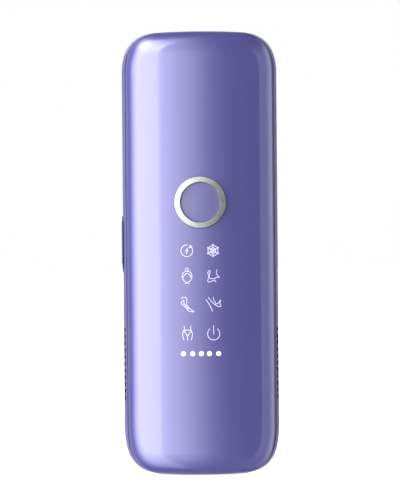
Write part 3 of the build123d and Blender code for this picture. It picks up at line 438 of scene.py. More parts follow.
def outward_of(loop):
    """Outward directions of a closed loop."""
    before = loop - np.roll(loop, 1, 0)
    after = np.roll(loop, -1, 0) - loop
    before_length = np.linalg.norm(before, axis=1, keepdims=True)
    after_length = np.linalg.norm(after, axis=1, keepdims=True)
    along = before * after_length / before_length + after * before_length / after_length
    return unit(np.column_stack([along[:, 1], -along[:, 0]]))


def in_space(xz, y):
    """Puts points of the outline's plane at a depth y."""
    return np.column_stack([xz[:, 0], np.broadcast_to(y, len(xz)), xz[:, 1]])


def above_base(points):
    """Keeps points from going below the flat base."""
    points = np.array(points)
    points[:, 2] = np.maximum(points[:, 2], 0)
    return points


cover_loop = outline(cover_half_width)
cover_out = outward_of(cover_loop)
cover_sides = in_space(cover_out, 0.0)
full_loop = outline(body_half_width)
full_out = outward_of(full_loop)
loop_count = len(cover_loop)


# ---------------------------------------------------------------- front cover


def on_arch(x, z, depth=0.0):
    """Point and normal of the arched front, or of a layer below it."""
    normal = np.array((x / arch_radius, -math.sqrt(1 - (x / arch_radius) ** 2), 0.0))
    point = np.array((0.0, arch_axis_y, z)) + (arch_radius - depth) * normal
    return point, normal


def brick(skin, *spans):
    """A plain box between the given limits of X, Y and Z, for the details inside the shells."""
    limits = [sorted(span) for span in spans]
    for axis in range(3):
        a, b = [k for k in range(3) if k != axis]
        for end, outwards in ((0, -1.0), (1, 1.0)):
            points = np.zeros((4, 3))
            points[:, axis] = limits[axis][end]
            points[:, a] = [limits[a][k] for k in (0, 1, 1, 0)]
            points[:, b] = [limits[b][k] for k in (0, 0, 1, 1)]
            normal = np.zeros(3)
            normal[axis] = outwards
            skin.lid(points, normal)


def front_cover():
    skin = Skin()
    ball_xz = cover_loop - edge_round * cover_out
    ball_reach = arch_radius - edge_round
    ball_y = arch_axis_y - np.sqrt(ball_reach**2 - ball_xz[:, 0] ** 2)
    balls = in_space(ball_xz, ball_y)
    frontward = np.column_stack([ball_xz[:, 0], ball_y - arch_axis_y, 0 * ball_y]) / ball_reach
    sweep = np.arccos((cover_sides * frontward).sum(1, keepdims=True))

    def ball_rows(radius, facing):
        """Rows round the long edge, from the side to the arch; facing is 1 outside and -1 inside."""
        rows = []
        for share in np.linspace(0, 1, round_steps + 1):
            normals = np.sin((1 - share) * sweep) * cover_sides + np.sin(share * sweep) * frontward
            normals = normals / np.sin(sweep)
            rows.append(skin.add(above_base(balls + radius * normals), facing * normals))
        return rows

    edge_centres = in_space(cover_loop - cover_edge_round * cover_out, parting_y - cover_edge_round)
    edge_turns = np.linspace(quarter, 0, 6)
    outer = skin.rounding(edge_centres, cover_edge_round, cover_sides, backward, edge_turns)
    outer += ball_rows(edge_round, 1)
    skin.bands(outer)
    inner_edge = in_space(cover_loop - wall * cover_out, parting_y)
    inner = [skin.add(inner_edge, -cover_sides), *ball_rows(edge_round - wall, -1)]
    skin.bands(inner)
    skin.band(skin.add(inner_edge, backward), outer[0])
    cover_openings(skin, outer[-1], inner[-1])
    for side in (-1, 1):
        for z in hook_z:
            for inner_x, outer_x, front_y, rear_y in hook_blocks:
                span_z = (z - hook_width / 2, z + hook_width / 2)
                brick(skin, (side * inner_x, side * outer_x), (front_y, rear_y), span_z)
    return skin.make("front_cover_skin", "handset", "purple_gloss", "front_cover")


def cover_openings(skin, outer_ring, inner_ring):
    """Fills the arch, and leaves the lights' holes and the stepped hole of the button's ring."""
    lights = [circle((x, light_z), light_radius, 32) for x in light_x]
    recess, recess_away = circle((0, button_z), ring_recess_radius, 96)
    sleeve, _ = circle((0, button_z), ring_sleeve_radius, 96)
    spots = np.array([(x, z) for x in front_spot_x for z in front_spot_z])
    holes = [recess + recess_away * ring_recess_roll]
    holes += [edge + away * light_roll for edge, away in lights]
    rims = fill(skin, outer_ring, (0, 2), on_arch, holes, spots)
    fill(skin, inner_ring, (0, 2), below(on_arch), [sleeve] + [edge for edge, _ in lights], spots)
    for rim, (edge, away) in zip(rims[1:], lights):
        rolled_edge(skin, rim, edge, away, on_arch, light_roll, wall)

    outwards = in_space(recess_away, 0.0)
    tops, tilts = on_surface(on_arch, recess)
    centres = tops + ring_recess_roll * (outwards - tilts)
    turns = np.linspace(0, quarter, 5)[1:]
    rows = [rims[0], *skin.rounding(centres, ring_recess_roll, tilts, -outwards, turns)]
    recess_floor = in_space(recess, ring_seat_y)
    rows.append(skin.add(recess_floor, -outwards))
    skin.bands(rows)
    sleeve_front = in_space(sleeve, ring_seat_y)
    sleeve_end, _ = on_surface(on_arch, sleeve, wall)
    skin.strip(recess_floor, sleeve_front, -backward)
    skin.strip(sleeve_front, sleeve_end, -outwards)


# ---------------------------------------------------------------- rear shell


def flare(y):
    """Share of the way from the cover's outline to the full width, and its growth per millimetre."""
    slope = (1 - rear_edge_share) / (full_width_y - rear_edge_y)
    ease = 1.0
    if y <= full_width_y - ease:
        return rear_edge_share + slope * (y - rear_edge_y), slope
    if y >= full_width_y + ease:
        return 1.0, 0.0
    past = y - full_width_y + ease
    start = rear_edge_share + slope * (full_width_y - ease - rear_edge_y)
    return start + slope * (past - past**2 / (4 * ease)), slope * (1 - past / (2 * ease))


def flare_row(y):
    share, slope = flare(y)
    loop = cover_loop + share * (full_loop - cover_loop)
    out = outward_of(loop)
    growth = slope * ((full_loop - cover_loop) * out).sum(1)
    return in_space(loop, y), unit(np.column_stack([out[:, 0], -growth, out[:, 1]]))


def on_side(side):
    def lift(y, z, depth=0.0):
        share, slope = flare(y)
        widening = body_half_width - cover_half_width
        normal = unit((side, -slope * widening, 0.0))
        point = np.array((side * (cover_half_width + share * widening), y, z))
        return point - depth * normal, normal
    return lift


def top_height(x, y):
    """Height of the body's top end."""
    share, _ = flare(y)
    loop = cover_loop + share * (full_loop - cover_loop)
    first = crown_steps + corner_steps + side_steps
    upper = loop[first:first + corner_steps + crown_steps + 1][::-1]
    return np.interp(abs(x), upper[:, 0], upper[:, 1])


def on_top(x, y, depth=0.0):
    step = 0.05
    slope_x = (top_height(x + step, y) - top_height(x - step, y)) / (2 * step)
    slope_y = (top_height(x, y + step) - top_height(x, y - step)) / (2 * step)
    normal = unit((-slope_x, -slope_y, 1.0))
    return np.array((x, y, top_height(x, y))) - depth * normal, normal


def on_base(x, y, depth=0.0):
    normal = np.array((0.0, 0.0, -1.0))
    return np.array((x, y, 0.0)) - depth * normal, normal


def window_ring(rows, low_row, high_row, columns):
    """The ring of grid points round a window of the grid."""
    ring = [rows[low_row][c] for c in columns]
    ring += [rows[r][columns[-1]] for r in range(low_row + 1, high_row)]
    ring += [rows[high_row][c] for c in reversed(columns)]
    ring += [rows[r][columns[0]] for r in range(high_row - 1, low_row, -1)]
    return ring


def side_columns(side, low, high):
    """Columns of the shell's grid along a stretch of one side."""
    x, z = full_loop.T
    first = crown_steps + corner_steps
    step = (z[first + 1] - z[first]) * 1.01
    on_this_side = np.abs(x - side * body_half_width) < 1e-6
    return np.flatnonzero(on_this_side & (z > low - step) & (z < high + step)).tolist()


def end_columns(half_length, at_top):
    """Columns of the shell's grid along the middle of one end, in order past the outline's seam."""
    step = 2.0
    x, z = full_loop.T
    on_this_end = (z > body_height / 2) == at_top
    found = np.flatnonzero((np.abs(x) < half_length + step) & on_this_end).tolist()
    turn = 0 if at_top else loop_count // 2
    return sorted(found, key=lambda i: (i + turn) % loop_count)


def rear_openings():
    """Windows of the shell's grid that hold the openings.

    Each has its first and last row, its columns, its surface, the axes of its plane, and its openings'
    edges and rounding.
    """
    margin = 1.2
    slot_reach = slot_height / 2 + margin
    slot_span = (slot_z[0] - slot_reach, slot_z[-1] + slot_reach)
    slots = [pill((slot_y, z), slot_length, slot_height, False) for z in slot_z]
    key_reach = side_bezel_length / 2 + margin
    key_span = (side_z - key_reach, side_z + key_reach)
    key = [pill((side_y, side_z), side_bezel_length, side_bezel_width, True, 12, 14)]
    head = [round_rect((0, head_y), bezel_length, bezel_width, bezel_corner)]
    jack = [circle((0, jack_y), jack_hole_radius, 64)]
    return [
        *[(1, 10, side_columns(side, *slot_span), on_side(side), (1, 2), slots, 0.2) for side in (-1, 1)],
        (2, 10, side_columns(-1, *key_span), on_side(-1), (1, 2), key, 0.15),
        (2, 12, end_columns(bezel_length / 2, True), on_top, (0, 1), head, 0.12),
        (4, 11, end_columns(jack_hole_radius, False), on_base, (0, 1), jack, 0.25),
    ]


def rear_rows(skin):
    """Rows of the rear shell's points, outside and inside, from its front edge to its flat back."""
    rows = [flare_row(y) for y in rear_levels]
    centres = in_space(full_loop - edge_round * full_out, back_y - edge_round)
    sides = in_space(full_out, 0.0)
    for turn in np.linspace(0, quarter, round_steps + 1)[1:]:
        normals = sides * math.cos(turn) + backward * math.sin(turn)
        rows.append((centres + edge_round * normals, normals))
    outer = []
    inner = []
    for points, normals in rows:
        outer.append(skin.add(above_base(points), normals))
        inner.append(skin.add(points - wall * normals, -normals))
    skin.close(outer[-1], inner[-1])
    return outer, inner


def rear_shell():
    skin = Skin()
    outer, inner = rear_rows(skin)
    openings = rear_openings()
    covered = set()
    for low_row, high_row, columns, *_ in openings:
        for r in range(low_row, high_row):
            covered.update((r, c) for c in columns[:-1])
    for rows in (outer, inner):
        for r in range(len(rows) - 1):
            for c in range(loop_count):
                if (r, c) not in covered:
                    d = (c + 1) % loop_count
                    skin.faces.append((rows[r][c], rows[r][d], rows[r + 1][d], rows[r + 1][c]))

    for low_row, high_row, columns, lift, axes, edges, roll in openings:
        ring = window_ring(outer, low_row, high_row, columns)
        ring_flat = np.array([skin.points[i][list(axes)] for i in ring])
        spans = zip(ring_flat.min(0), ring_flat.max(0), opening_spot_step)
        first_axis, second_axis = [np.arange(*span) for span in spans]
        spots = np.array([(a, b) for a in first_axis for b in second_axis])
        widened = [edge + away * roll for edge, away in edges]
        rims = fill(skin, ring, axes, lift, widened, spots, opening_spot_margin)
        inner_ring = window_ring(inner, low_row, high_row, columns)
        inner_holes = [edge for edge, _ in edges]
        fill(skin, inner_ring, axes, below(lift), inner_holes, spots, opening_spot_margin)
        for rim, (edge, away) in zip(rims, edges):
            rolled_edge(skin, rim, edge, away, lift, roll, wall)

    rear_rim(skin, inner[0])
    rear_lip(skin)
    rear_bosses(skin)
    return skin.make("rear_shell_skin", "handset", "purple_shell", "rear_shell")


def rim_points(loop, inset, y):
    return above_base(in_space(loop - inset * cover_out, y))


def rear_rim(skin, inner_row):
    """The front edge: it meets the cover, steps down into the gap and rounds up onto the flare."""
    seat_inner = rim_points(cover_loop, wall, parting_y)
    seat_outer = rim_points(cover_loop, rim_step, parting_y)
    floor_inner = rim_points(cover_loop, rim_step, groove_floor_y)
    edge_loop = cover_loop + rear_edge_share * (full_loop - cover_loop)
    floor_outer = rim_points(edge_loop, 2 * rear_edge_round, groove_floor_y)
    skin.band(skin.add(seat_inner, -cover_sides), inner_row)
    skin.strip(seat_inner, seat_outer, -backward)
    skin.strip(seat_outer, floor_inner, cover_sides)
    skin.strip(floor_inner, floor_outer, -backward)
    centres = in_space(edge_loop - rear_edge_round * cover_out, rear_edge_y)
    turns = np.linspace(0, math.pi, 8)
    rows = [skin.add(floor_outer, -cover_sides)]
    rows += skin.rounding(centres, rear_edge_round, -cover_sides, -backward, turns)
    skin.bands(rows)


def rear_lip(skin):
    """The lip that locates the cover, and the ledge that joins it to the wall."""
    lip_front_y = parting_y - lip_height
    ledge_back_y = parting_y + ledge_depth
    lip_outer = wall + lip_clearance
    lip_inner = lip_outer + lip_thickness
    corners = [
        (wall, parting_y), (lip_outer, parting_y), (lip_outer, lip_front_y), (lip_inner, lip_front_y),
        (lip_inner, ledge_back_y), (ledge_root, ledge_back_y),
    ]
    facings = [-backward, cover_sides, -backward, -cover_sides, backward]
    for low, high, facing in zip(corners, corners[1:], facings):
        skin.strip(rim_points(cover_loop, *low), rim_points(cover_loop, *high), facing)


def rear_bosses(skin):
    """Screw bosses that carry the chassis."""
    boss_root = -(back_y - wall / 2)
    boss_front = -chassis_back_y
    hole_end = boss_front - case_hole_depth
    boss = smooth([
        (case_boss_radius, boss_root, 0), (case_boss_radius, boss_front, 0.1),
        (case_screw_radius, boss_front, 0), (case_screw_radius, hole_end, 0), (small_axis_gap, hole_end, 0),
    ])
    for x, z in case_screws:
        turned(skin, boss, (x, 0, z), (0, -1, 0), (1, 0, 0), count=32)


# ---------------------------------------------------------------- turned and pill-shaped pieces


def smooth(corners, closed=False, steps=5):
    """A profile of (distance, height, rounding) as rows of distance, height and their normal."""
    rows = []
    count = len(corners)
    spots = np.array([(d, h) for d, h, _ in corners], float)
    for i in range(count):
        here = spots[i]
        has_before = closed or i > 0
        has_after = closed or i < count - 1
        before = unit(here - spots[i - 1]) if has_before else None
        after = unit(spots[(i + 1) % count] - here) if has_after else None
        rounding = corners[i][2]
        if not has_before or not has_after:
            way = after if has_after else before
            rows.append((*here, way[1], -way[0]))
        elif rounding == 0:
            rows.append((*here, before[1], -before[0]))
            rows.append((*here, after[1], -after[0]))
        else:
            angle = math.acos(max(-1, min(1, before @ after)))
            back = rounding * math.tan(angle / 2)
            left_turn = before[0] * after[1] - before[1] * after[0] > 0
            way = 1 if left_turn else -1
            centre = here - before * back - way * rounding * np.array((before[1], -before[0]))
            first = math.atan2(-before[0], before[1])
            for normal in directions(np.linspace(first, first + way * angle, steps + 1)):
                rows.append((*(centre + way * rounding * normal), *normal))
    return rows


def turned(skin, rows, origin, up, across, core=0.0, closed=False, count=96):
    """Sweeps a profile round an axis, or round a straight core that lies along across."""
    up = np.array(up, float)
    across = np.array(across, float)
    third = np.cross(up, across)
    turns = np.linspace(0, 2 * math.pi, count, endpoint=False)
    spokes = [(math.cos(t) * across + math.sin(t) * third, math.cos(t)) for t in turns]
    ids = []
    for distance, height, out, rise in rows:
        points = []
        normals = []
        for spoke, along in spokes:
            core_end = core / 2 * np.sign(round(along, 9)) * across
            points.append(np.array(origin) + up * height + spoke * distance + core_end)
            normals.append(spoke * out + up * rise)
        ids.append(skin.add(points, normals))
    skin.bands(ids)
    if closed:
        skin.band(ids[-1], ids[0])
    else:
        skin.close(ids[0], ids[-1])


def button_ring():
    """Metal ring with a slightly conical face, so that each side of it mirrors its own side of the room."""
    skin = Skin()
    bore, sleeve, outside = 7.3, 8.45, 9.25
    root, seat, outer_top, inner_top = 16.4, 17.0, 18.45, 18.9
    profile = smooth([
        (bore, root, 0), (sleeve, root, 0), (sleeve, seat, 0), (outside, seat, 0.05),
        (outside, outer_top, 0.15), (bore, inner_top, 0.05),
    ], closed=True, steps=6)
    turned(skin, profile, (0, 0, button_z), (0, -1, 0), (1, 0, 0), closed=True, count=128)
    return skin.make("button_ring_skin", "handset", "satin_metal", "button_ring")


def main_button():
    """Round button whose face follows the arch a little below it and rises slightly to its soft edge."""
    skin = Skin()
    face_depth = 0.22
    rim_depth = 0.1
    face_radius = 6.98
    edge_roll = 0.2
    flange_radius = 8.1
    flange_front = 16.2
    flange_back = 15.4
    skirt_radius = face_radius + edge_roll
    spokes, _ = circle((0, 0), 1.0, 128)
    outward = in_space(spokes, 0.0)
    # Radius, depth below the arch and outward rise of each row of points
    face = [
        (axis_gap, face_depth, 0), (1.5, face_depth, 0), (3.0, face_depth, 0.005),
        (4.2, face_depth - 0.02, 0.01), (5.2, face_depth - 0.05, 0.025), (6.2, rim_depth, 0.04),
        (face_radius, rim_depth - 0.04, 0.05),
    ]
    rows = []
    for radius, depth, rise in face:
        points, tilts = on_surface(on_arch, spokes * radius + (0, button_z), depth)
        rows.append(skin.add(points, tilts - outward * rise))
    rim = np.array([skin.points[i] for i in rows[-1]])
    tilts = np.array([skin.normals[i] for i in rows[-1]])
    turns = np.linspace(0, quarter, 7)[1:]
    rows += skin.rounding(rim - edge_roll * tilts, edge_roll, tilts, outward, turns)
    rows.append(skin.add(in_space(spokes * skirt_radius + (0, button_z), -flange_front), outward))
    skin.bands(rows)
    skin.close(rows[0])
    flange = smooth([
        (skirt_radius, flange_front, 0), (flange_radius, flange_front, 0.1),
        (flange_radius, flange_back, 0.1), (axis_gap, flange_back, 0),
    ])
    rows = []
    for distance, height, out, rise in flange:
        points = in_space(spokes * distance + (0, button_z), -height)
        rows.append(skin.add(points, backward * rise - outward * out))
    skin.bands(rows)
    skin.close(rows[-1])
    return skin.make("main_button_skin", "button", "purple_gloss", "main_button", look="button_face")


def button_spring():
    """Coil spring between the button and the board, which shortens as the button goes in."""
    skin = Skin()
    turns = np.linspace(0, 2 * math.pi * spring_turns, 48 * spring_turns + 1)
    ways = np.column_stack([np.cos(turns), 0 * turns, np.sin(turns)])
    middles = ways * spring_radius + (0, 0, button_z)
    middles[:, 1] = np.linspace(spring_front_y, spring_back_y, len(turns))
    along = unit(np.gradient(middles, axis=0))
    thirds = np.cross(along, ways)
    rounds = np.linspace(0, 2 * math.pi, 12, endpoint=False)[:, None]
    rows = []
    for middle, way, third in zip(middles, ways, thirds):
        normals = np.cos(rounds) * way + np.sin(rounds) * third
        rows.append(skin.add(middle + spring_wire_radius * normals, normals))
    skin.bands(rows)
    for row, facing in ((rows[0], -along[0]), (rows[-1], along[-1])):
        skin.lid([skin.points[i] for i in row], facing)
    piece = skin.make("button_spring_coil", "handset", "steel", "button_spring")
    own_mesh(piece)


def level_lights():
    skin = Skin()
    lens = smooth([
        (small_axis_gap, -lens_depth, 0), (lens_radius, -lens_depth, 0),
        (lens_radius, -0.05, 0.1), (small_axis_gap, -0.03, 0),
    ])
    for x in light_x:
        point, normal = on_arch(x, light_z)
        across = unit(np.cross((0, 0, 1), normal))
        turned(skin, lens, point, normal, across, count=40)
    return skin.make("level_light_lenses", "handset", "light_white", "level_lights")


def side_bezel():
    """Frame of the side button: a plate with rounded ends and a slot in it."""
    skin = Skin()
    roll = 0.3
    face_x = -body_half_width - side_bezel_proud
    root_x = -body_half_width + wall
    fineness = (True, 14, 12)
    plate_length = side_bezel_length - side_bezel_clearance
    plate_width = side_bezel_width - side_bezel_clearance
    slot_size = (side_button_length + 2 * side_button_gap, side_button_width + 2 * side_button_gap)
    outer_edge, outer_away = pill((side_y, side_z), plate_length, plate_width, *fineness)
    inner_edge, inner_away = pill((side_y, side_button_z), *slot_size, *fineness)
    no_spots = np.zeros((0, 2))

    def at_x(edge, x):
        return np.column_stack([np.full(len(edge), x), edge])

    def flat(x, facing):
        return lambda y, z: (np.array((x, y, z)), facing)

    outs = at_x(outer_away, 0.0)
    centres = at_x(outer_edge - roll * outer_away, face_x + roll)
    rows = skin.rounding(centres, roll, left, outs, np.linspace(0, quarter, 6))
    rows.append(skin.add(at_x(outer_edge, root_x), outs))
    skin.bands(rows)
    face = flat(face_x, left)
    rims = fill(skin, rows[0], (1, 2), face, [inner_edge + inner_away * roll], no_spots)
    rolled_edge(skin, rims[0], inner_edge, inner_away, face, roll, root_x - face_x)
    back_ring = skin.add(at_x(outer_edge, root_x), -left)
    fill(skin, back_ring, (1, 2), flat(root_x, -left), [inner_edge], no_spots)
    return skin.make("side_bezel_skin", "handset", "dark_plastic", "side_button_bezel", look="matt_black")


def side_button():
    skin = Skin()
    half = side_button_width / 2
    flange = half + 1.0
    root, flange_front, face_edge, face_middle = 24.5, 25.2, 28.42, 28.5
    profile = smooth([
        (axis_gap, root, 0), (flange, root, 0), (flange, flange_front, 0), (half, flange_front, 0),
        (half, face_edge, 0.45), (0.9, face_middle - 0.01, 0.8), (axis_gap, face_middle, 0),
    ])
    core = side_button_length - side_button_width
    turned(skin, profile, (0, side_y, side_button_z), (-1, 0, 0), (0, 0, 1), core=core, count=64)
    return skin.make("side_button_skin", "side_key", "purple_shell", "side_button")


def painted_vent_shade():
    """Painted shade: dark linings set inside the air slots, so that the slots look black from every side."""
    skin = Skin()
    gap = 0.02
    recess = 0.06
    depth = 1.9
    lining = 0.12
    for side in (-1, 1):
        inwards = -side * np.array((1.0, 0.0, 0.0))
        for z in slot_z:
            edge, away = pill((slot_y, z), slot_length - 2 * gap, slot_height - 2 * gap, False)
            outs = np.column_stack([np.zeros(len(edge)), away])
            mouth, mouth_facing = on_surface(on_side(side), edge, recess)
            lip, lip_facing = on_surface(on_side(side), edge - away * lining, recess)
            skin.band(skin.add(mouth, mouth_facing), skin.add(lip, lip_facing))
            skin.strip(lip, lip + depth * inwards, -outs)
            skin.strip(mouth, mouth + depth * inwards, outs)
            skin.strip(mouth + depth * inwards, lip + depth * inwards, inwards)
    return skin.make("painted_vent_shade", "handset", "black_plastic", look="matt_black")


# ---------------------------------------------------------------- lit signs


def arc(centre, radius, start, end, count=24):
    return directions(np.radians(np.linspace(start, end, count))) * radius + centre


def bend(*points, steps=8):
    """A smooth line through the points."""
    knots = np.array([points[0], *points, points[-1]], float)
    t = (np.arange(steps) / steps)[:, None]
    line = []
    for a, b, c, d in zip(knots, knots[1:], knots[2:], knots[3:]):
        squares = 2 * a - 5 * b + 4 * c - d
        cubes = 3 * b - a - 3 * c + d
        line += list(0.5 * (2 * b + (c - a) * t + squares * t**2 + cubes * t**3))
    return np.array([*line, knots[-1]])


def stroke(skin, line, width):
    """A thin ribbon along a line on the arched front, with rounded ends unless it closes."""
    line = np.asarray(line, float)
    closed = np.allclose(line[0], line[-1])
    if closed:
        line = line[:-1]
    before = line - np.roll(line, 1, 0)
    after = np.roll(line, -1, 0) - line
    if not closed:
        before[0] = after[0]
        after[-1] = before[-1]

    def turned_left(ways):
        return np.column_stack([-ways[:, 1], ways[:, 0]])

    def raised(points):
        return skin.add(*on_surface(on_arch, points, -sign_height))

    along = unit(unit(before) + unit(after))
    across = turned_left(along)
    cosines = (across * turned_left(unit(after))).sum(1, keepdims=True)
    reach = across / np.maximum(cosines, 0.5) * width / 2
    left_ids = raised(line + reach)
    right_ids = raised(line - reach)
    skin.band(left_ids, right_ids, closed)
    if closed:
        return
    turns = np.linspace(0, math.pi, 7)[1:-1, None]
    for end, way, low, high in ((-1, 1, left_ids, right_ids), (0, -1, right_ids, left_ids)):
        spokes = across[end] * np.cos(turns) + along[end] * np.sin(turns)
        cap = raised(line[end] + way * width / 2 * spokes)
        skin.faces.append((low[end], *cap, high[end]))


# Each sign gives its thin lines and its bold ones, round its own middle.


def both_sides(*lines):
    return [np.asarray(line) * (side, 1) for line in lines for side in (-1, 1)]


def flash_sign():
    """Automatic flashing: a turning arrow round a spark."""
    arrow_head = [(0.85, 1.2), (1.3, 1.95), (1.75, 1.2), (0.85, 1.2)]
    spark = [(0.3, 0.95), (-0.5, -0.05), (0.35, 0.15), (-0.3, -1.1)]
    return [arc((0, 0), 2.1, 86, 396, 40)], [arrow_head, spark]


def cooling_sign():
    """Cooling: a six-sided snow crystal."""
    ways = [np.array((math.sin(k * math.pi / 3), math.cos(k * math.pi / 3))) for k in range(6)]
    hexagons = [[way * distance for way in ways + ways[:1]] for distance in (1.1, 2.05)]
    return [], hexagons + [[(0, 0), way * 2.35] for way in ways]


def face_sign():
    """Face: head, bun, hairline and neck."""
    bun = arc((0, 2.3), 0.55, -60, 240)
    head = bend((0, 1.8), (1.3, 1.25), (1.75, -0.3), (1.25, -1.5), (0.35, -2.2), (-0.75, -2.75))
    hairline = bend((0, 1.05), (0.95, 0.4), (1.35, -0.5))
    return [bun, *both_sides(head, hairline)], []


def arm_sign():
    """Bent arm with the hand at the head."""
    outside = bend((-1.3, 0.8), (-1.05, 1.7), (-1.55, 1.9), (-1.95, 1.0), (-1.6, 0.1), (-1.8, -0.9),
                   (-2.0, -1.9), (-1.5, -2.2), (-0.4, -1.9), (0.3, -1.5), (1.0, -2.2))
    within = bend((-1.3, 0.8), (-1.5, 0.0), (-1.2, -0.8), (0.0, -1.0), (1.2, -0.6), (2.2, -0.2))
    chest = bend((1.3, 2.2), (1.15, 1.2), (1.5, 0.2), (2.1, -0.7))
    return [outside, within, chest], []


def leg_sign():
    """Lower leg with its foot."""
    outside = bend((-2.2, 2.4), (-0.6, 2.7), (-0.1, 1.8), (-0.3, 0.6), (0.1, -0.5), (1.2, -1.6), (2.4, -2.5),
                   (0.6, -2.3), (-0.4, -1.2), (-1.2, -0.4), (-2.2, 0.6), (-1.8, 1.3), (-1.2, 1.6))
    within = bend((-1.2, 1.6), (-1.2, 0.6), (-0.5, -0.5), (0.5, -1.5))
    return [outside, within], []


def forearm_sign():
    """Forearm and hand."""
    underside = bend((-2.6, 1.8), (-1.3, -0.3), (-0.3, -2.4))
    top = bend((-1.8, 2.6), (-0.5, 0.8), (0.5, 0.0))
    thumb = bend((0.0, 2.6), (0.25, 1.3), (0.9, 0.4))
    hand = bend((0.5, 0.0), (1.6, 0.5), (2.6, 1.6), (2.3, 0.4), (2.7, -0.7), (1.5, -0.6), (0.5, 0.0))
    return [underside, top, thumb, hand], []


def bikini_sign():
    """Waist and hips with a brief."""
    hip = bend((1.25, 2.7), (1.05, 1.7), (1.5, 0.7), (1.75, -0.6), (1.3, -2.4))
    waistband = bend((0, 1.25), (0.7, 1.1), (1.4, 0.9))
    leg_hole = bend((1.4, 0.9), (0.5, -0.2), (0, -1.1))
    return [*both_sides(hip, waistband, leg_hole), [(0, -1.1), (0, -2.4)]], []


def power_sign():
    """Standby: a broken circle and a bar."""
    return [arc((0, -0.2), 2.2, 52, -232, 40), [(0, 2.7), (0, -0.4)]], []


def touch_signs():
    skin = Skin()
    rows = [
        (bikini_sign, power_sign), (leg_sign, forearm_sign),
        (face_sign, arm_sign), (flash_sign, cooling_sign),
    ]
    for z, row in zip(icon_z, rows):
        for x, sign in zip(icon_x, row):
            for lines, width in zip(sign(), (sign_width, bold_sign_width)):
                for line in lines:
                    stroke(skin, np.asarray(line) + (x, z), width)
    return skin.make("touch_signs", "handset", "light_white", look="lit_sign")


# ---------------------------------------------------------------- materials


def new_material(name, colour, roughness, **settings):
    """A Principled material; settings are socket names in lower case, with _ for a space."""
    made = bpy.data.materials.new(name)
    made.use_nodes = True
    shader_input(made, "Base Color").default_value = (*colour, 1)
    shader_input(made, "Roughness").default_value = roughness
    for key, value in settings.items():
        socket = key.replace("_", " ").title().replace("Ior", "IOR")
        if isinstance(value, tuple):
            value = (*value, 1)
        shader_input(made, socket).default_value = value
    return made


def node(made, kind, **settings):
    """A node of a material or a world; settings are its own, or its sockets' names as above."""
    added = made.node_tree.nodes.new(kind)
    for key, value in settings.items():
        if hasattr(added, key):
            setattr(added, key, value)
        else:
            added.inputs[key.replace("_", " ").title()].default_value = value
    return added


def join(made, out, into):
    made.node_tree.links.new(out, into)


def shader_input(made, name):
    return made.node_tree.nodes["Principled BSDF"].inputs[name]


def noise(made, size_mm, detail=2.0):
    """Noise with features of about size_mm, fixed to the piece."""
    cloud = node(made, "ShaderNodeTexNoise", scale=1 / (size_mm * MM), detail=detail)
    join(made, node(made, "ShaderNodeTexCoord").outputs["Object"], cloud.inputs["Vector"])
    return cloud.outputs["Fac"]


def spread(made, value, low, high, start=0.25, end=0.75):
    """Maps a value to a range; the usual start and end suit noise, whose middle is 0.5."""
    ranged = node(made, "ShaderNodeMapRange", from_min=start, from_max=end, to_min=low, to_max=high)
    join(made, value, ranged.inputs["Value"])
    return ranged.outputs["Result"]


def vary_colour(made, value, darker, lighter, start=0.3, end=0.7):
    ramp = node(made, "ShaderNodeValToRGB")
    for stop, position, colour in zip(ramp.color_ramp.elements, (start, end), (darker, lighter)):
        stop.position = position
        stop.color = (*colour, 1)
    join(made, value, ramp.inputs["Fac"])
    join(made, ramp.outputs["Color"], shader_input(made, "Base Color"))


def vary_roughness(made, value, low, high):
    join(made, spread(made, value, low, high), shader_input(made, "Roughness"))


def bump(made, value, height_mm):
    raised = node(made, "ShaderNodeBump", strength=1.0, distance=height_mm * MM)
    join(made, value, raised.inputs["Height"])
    join(made, raised.outputs["Normal"], shader_input(made, "Normal"))


def tinted(colour, factor):
    return tuple(min(1.0, c * factor) for c in colour)


def pearl_plastic(name, colour, roughness, coat_weight, coat_roughness):
    """Deep purple plastic with fine pearl in it, under a clear gloss layer."""
    made = new_material(name, colour, roughness, coat_weight=coat_weight, coat_roughness=coat_roughness,
                        coat_ior=1.8, ior=1.6, metallic=0.35)
    vary_colour(made, noise(made, 0.12, 1), tinted(colour, 0.94), tinted(colour, 1.06))
    vary_roughness(made, noise(made, 6.0), roughness - 0.03, roughness + 0.03)
    bump(made, noise(made, 1.5), 0.0006)
    return made


def moulded_plastic(name, colour, roughness, grain_mm=0.25):
    made = new_material(name, colour, roughness)
    vary_colour(made, noise(made, 3.0), tinted(colour, 0.88), tinted(colour, 1.12))
    vary_roughness(made, noise(made, 2.0), roughness - 0.06, roughness + 0.06)
    bump(made, noise(made, grain_mm), 0.006)
    return made


def metal(name, colour, roughness, grain_mm=0.1, height_mm=0.002):
    made = new_material(name, colour, roughness, metallic=1.0)
    vary_colour(made, noise(made, 4.0), tinted(colour, 0.93), tinted(colour, 1.05))
    vary_roughness(made, noise(made, 1.0), roughness * 0.8, roughness * 1.2)
    bump(made, noise(made, grain_mm), height_mm)
    return made


def lit_plastic(name, colour, strength):
    made = new_material(name, colour, 0.4, emission_color=colour, emission_strength=strength)
    vary_roughness(made, noise(made, 0.8), 0.35, 0.45)
    return made


def matt_black():
    made = new_material("matt_black", (0.006, 0.005, 0.012), 0.6, specular_ior_level=0.1)
    vary_roughness(made, noise(made, 0.8), 0.55, 0.7)
    return made


def object_place(made, scale_xyz):
    """Position on the piece, scaled along each axis to make lines and threads, in turns per millimetre."""
    scaled = node(made, "ShaderNodeMapping", scale=[s / MM for s in scale_xyz])
    join(made, node(made, "ShaderNodeTexCoord").outputs["Object"], scaled.inputs["Vector"])
    return scaled.outputs["Vector"]


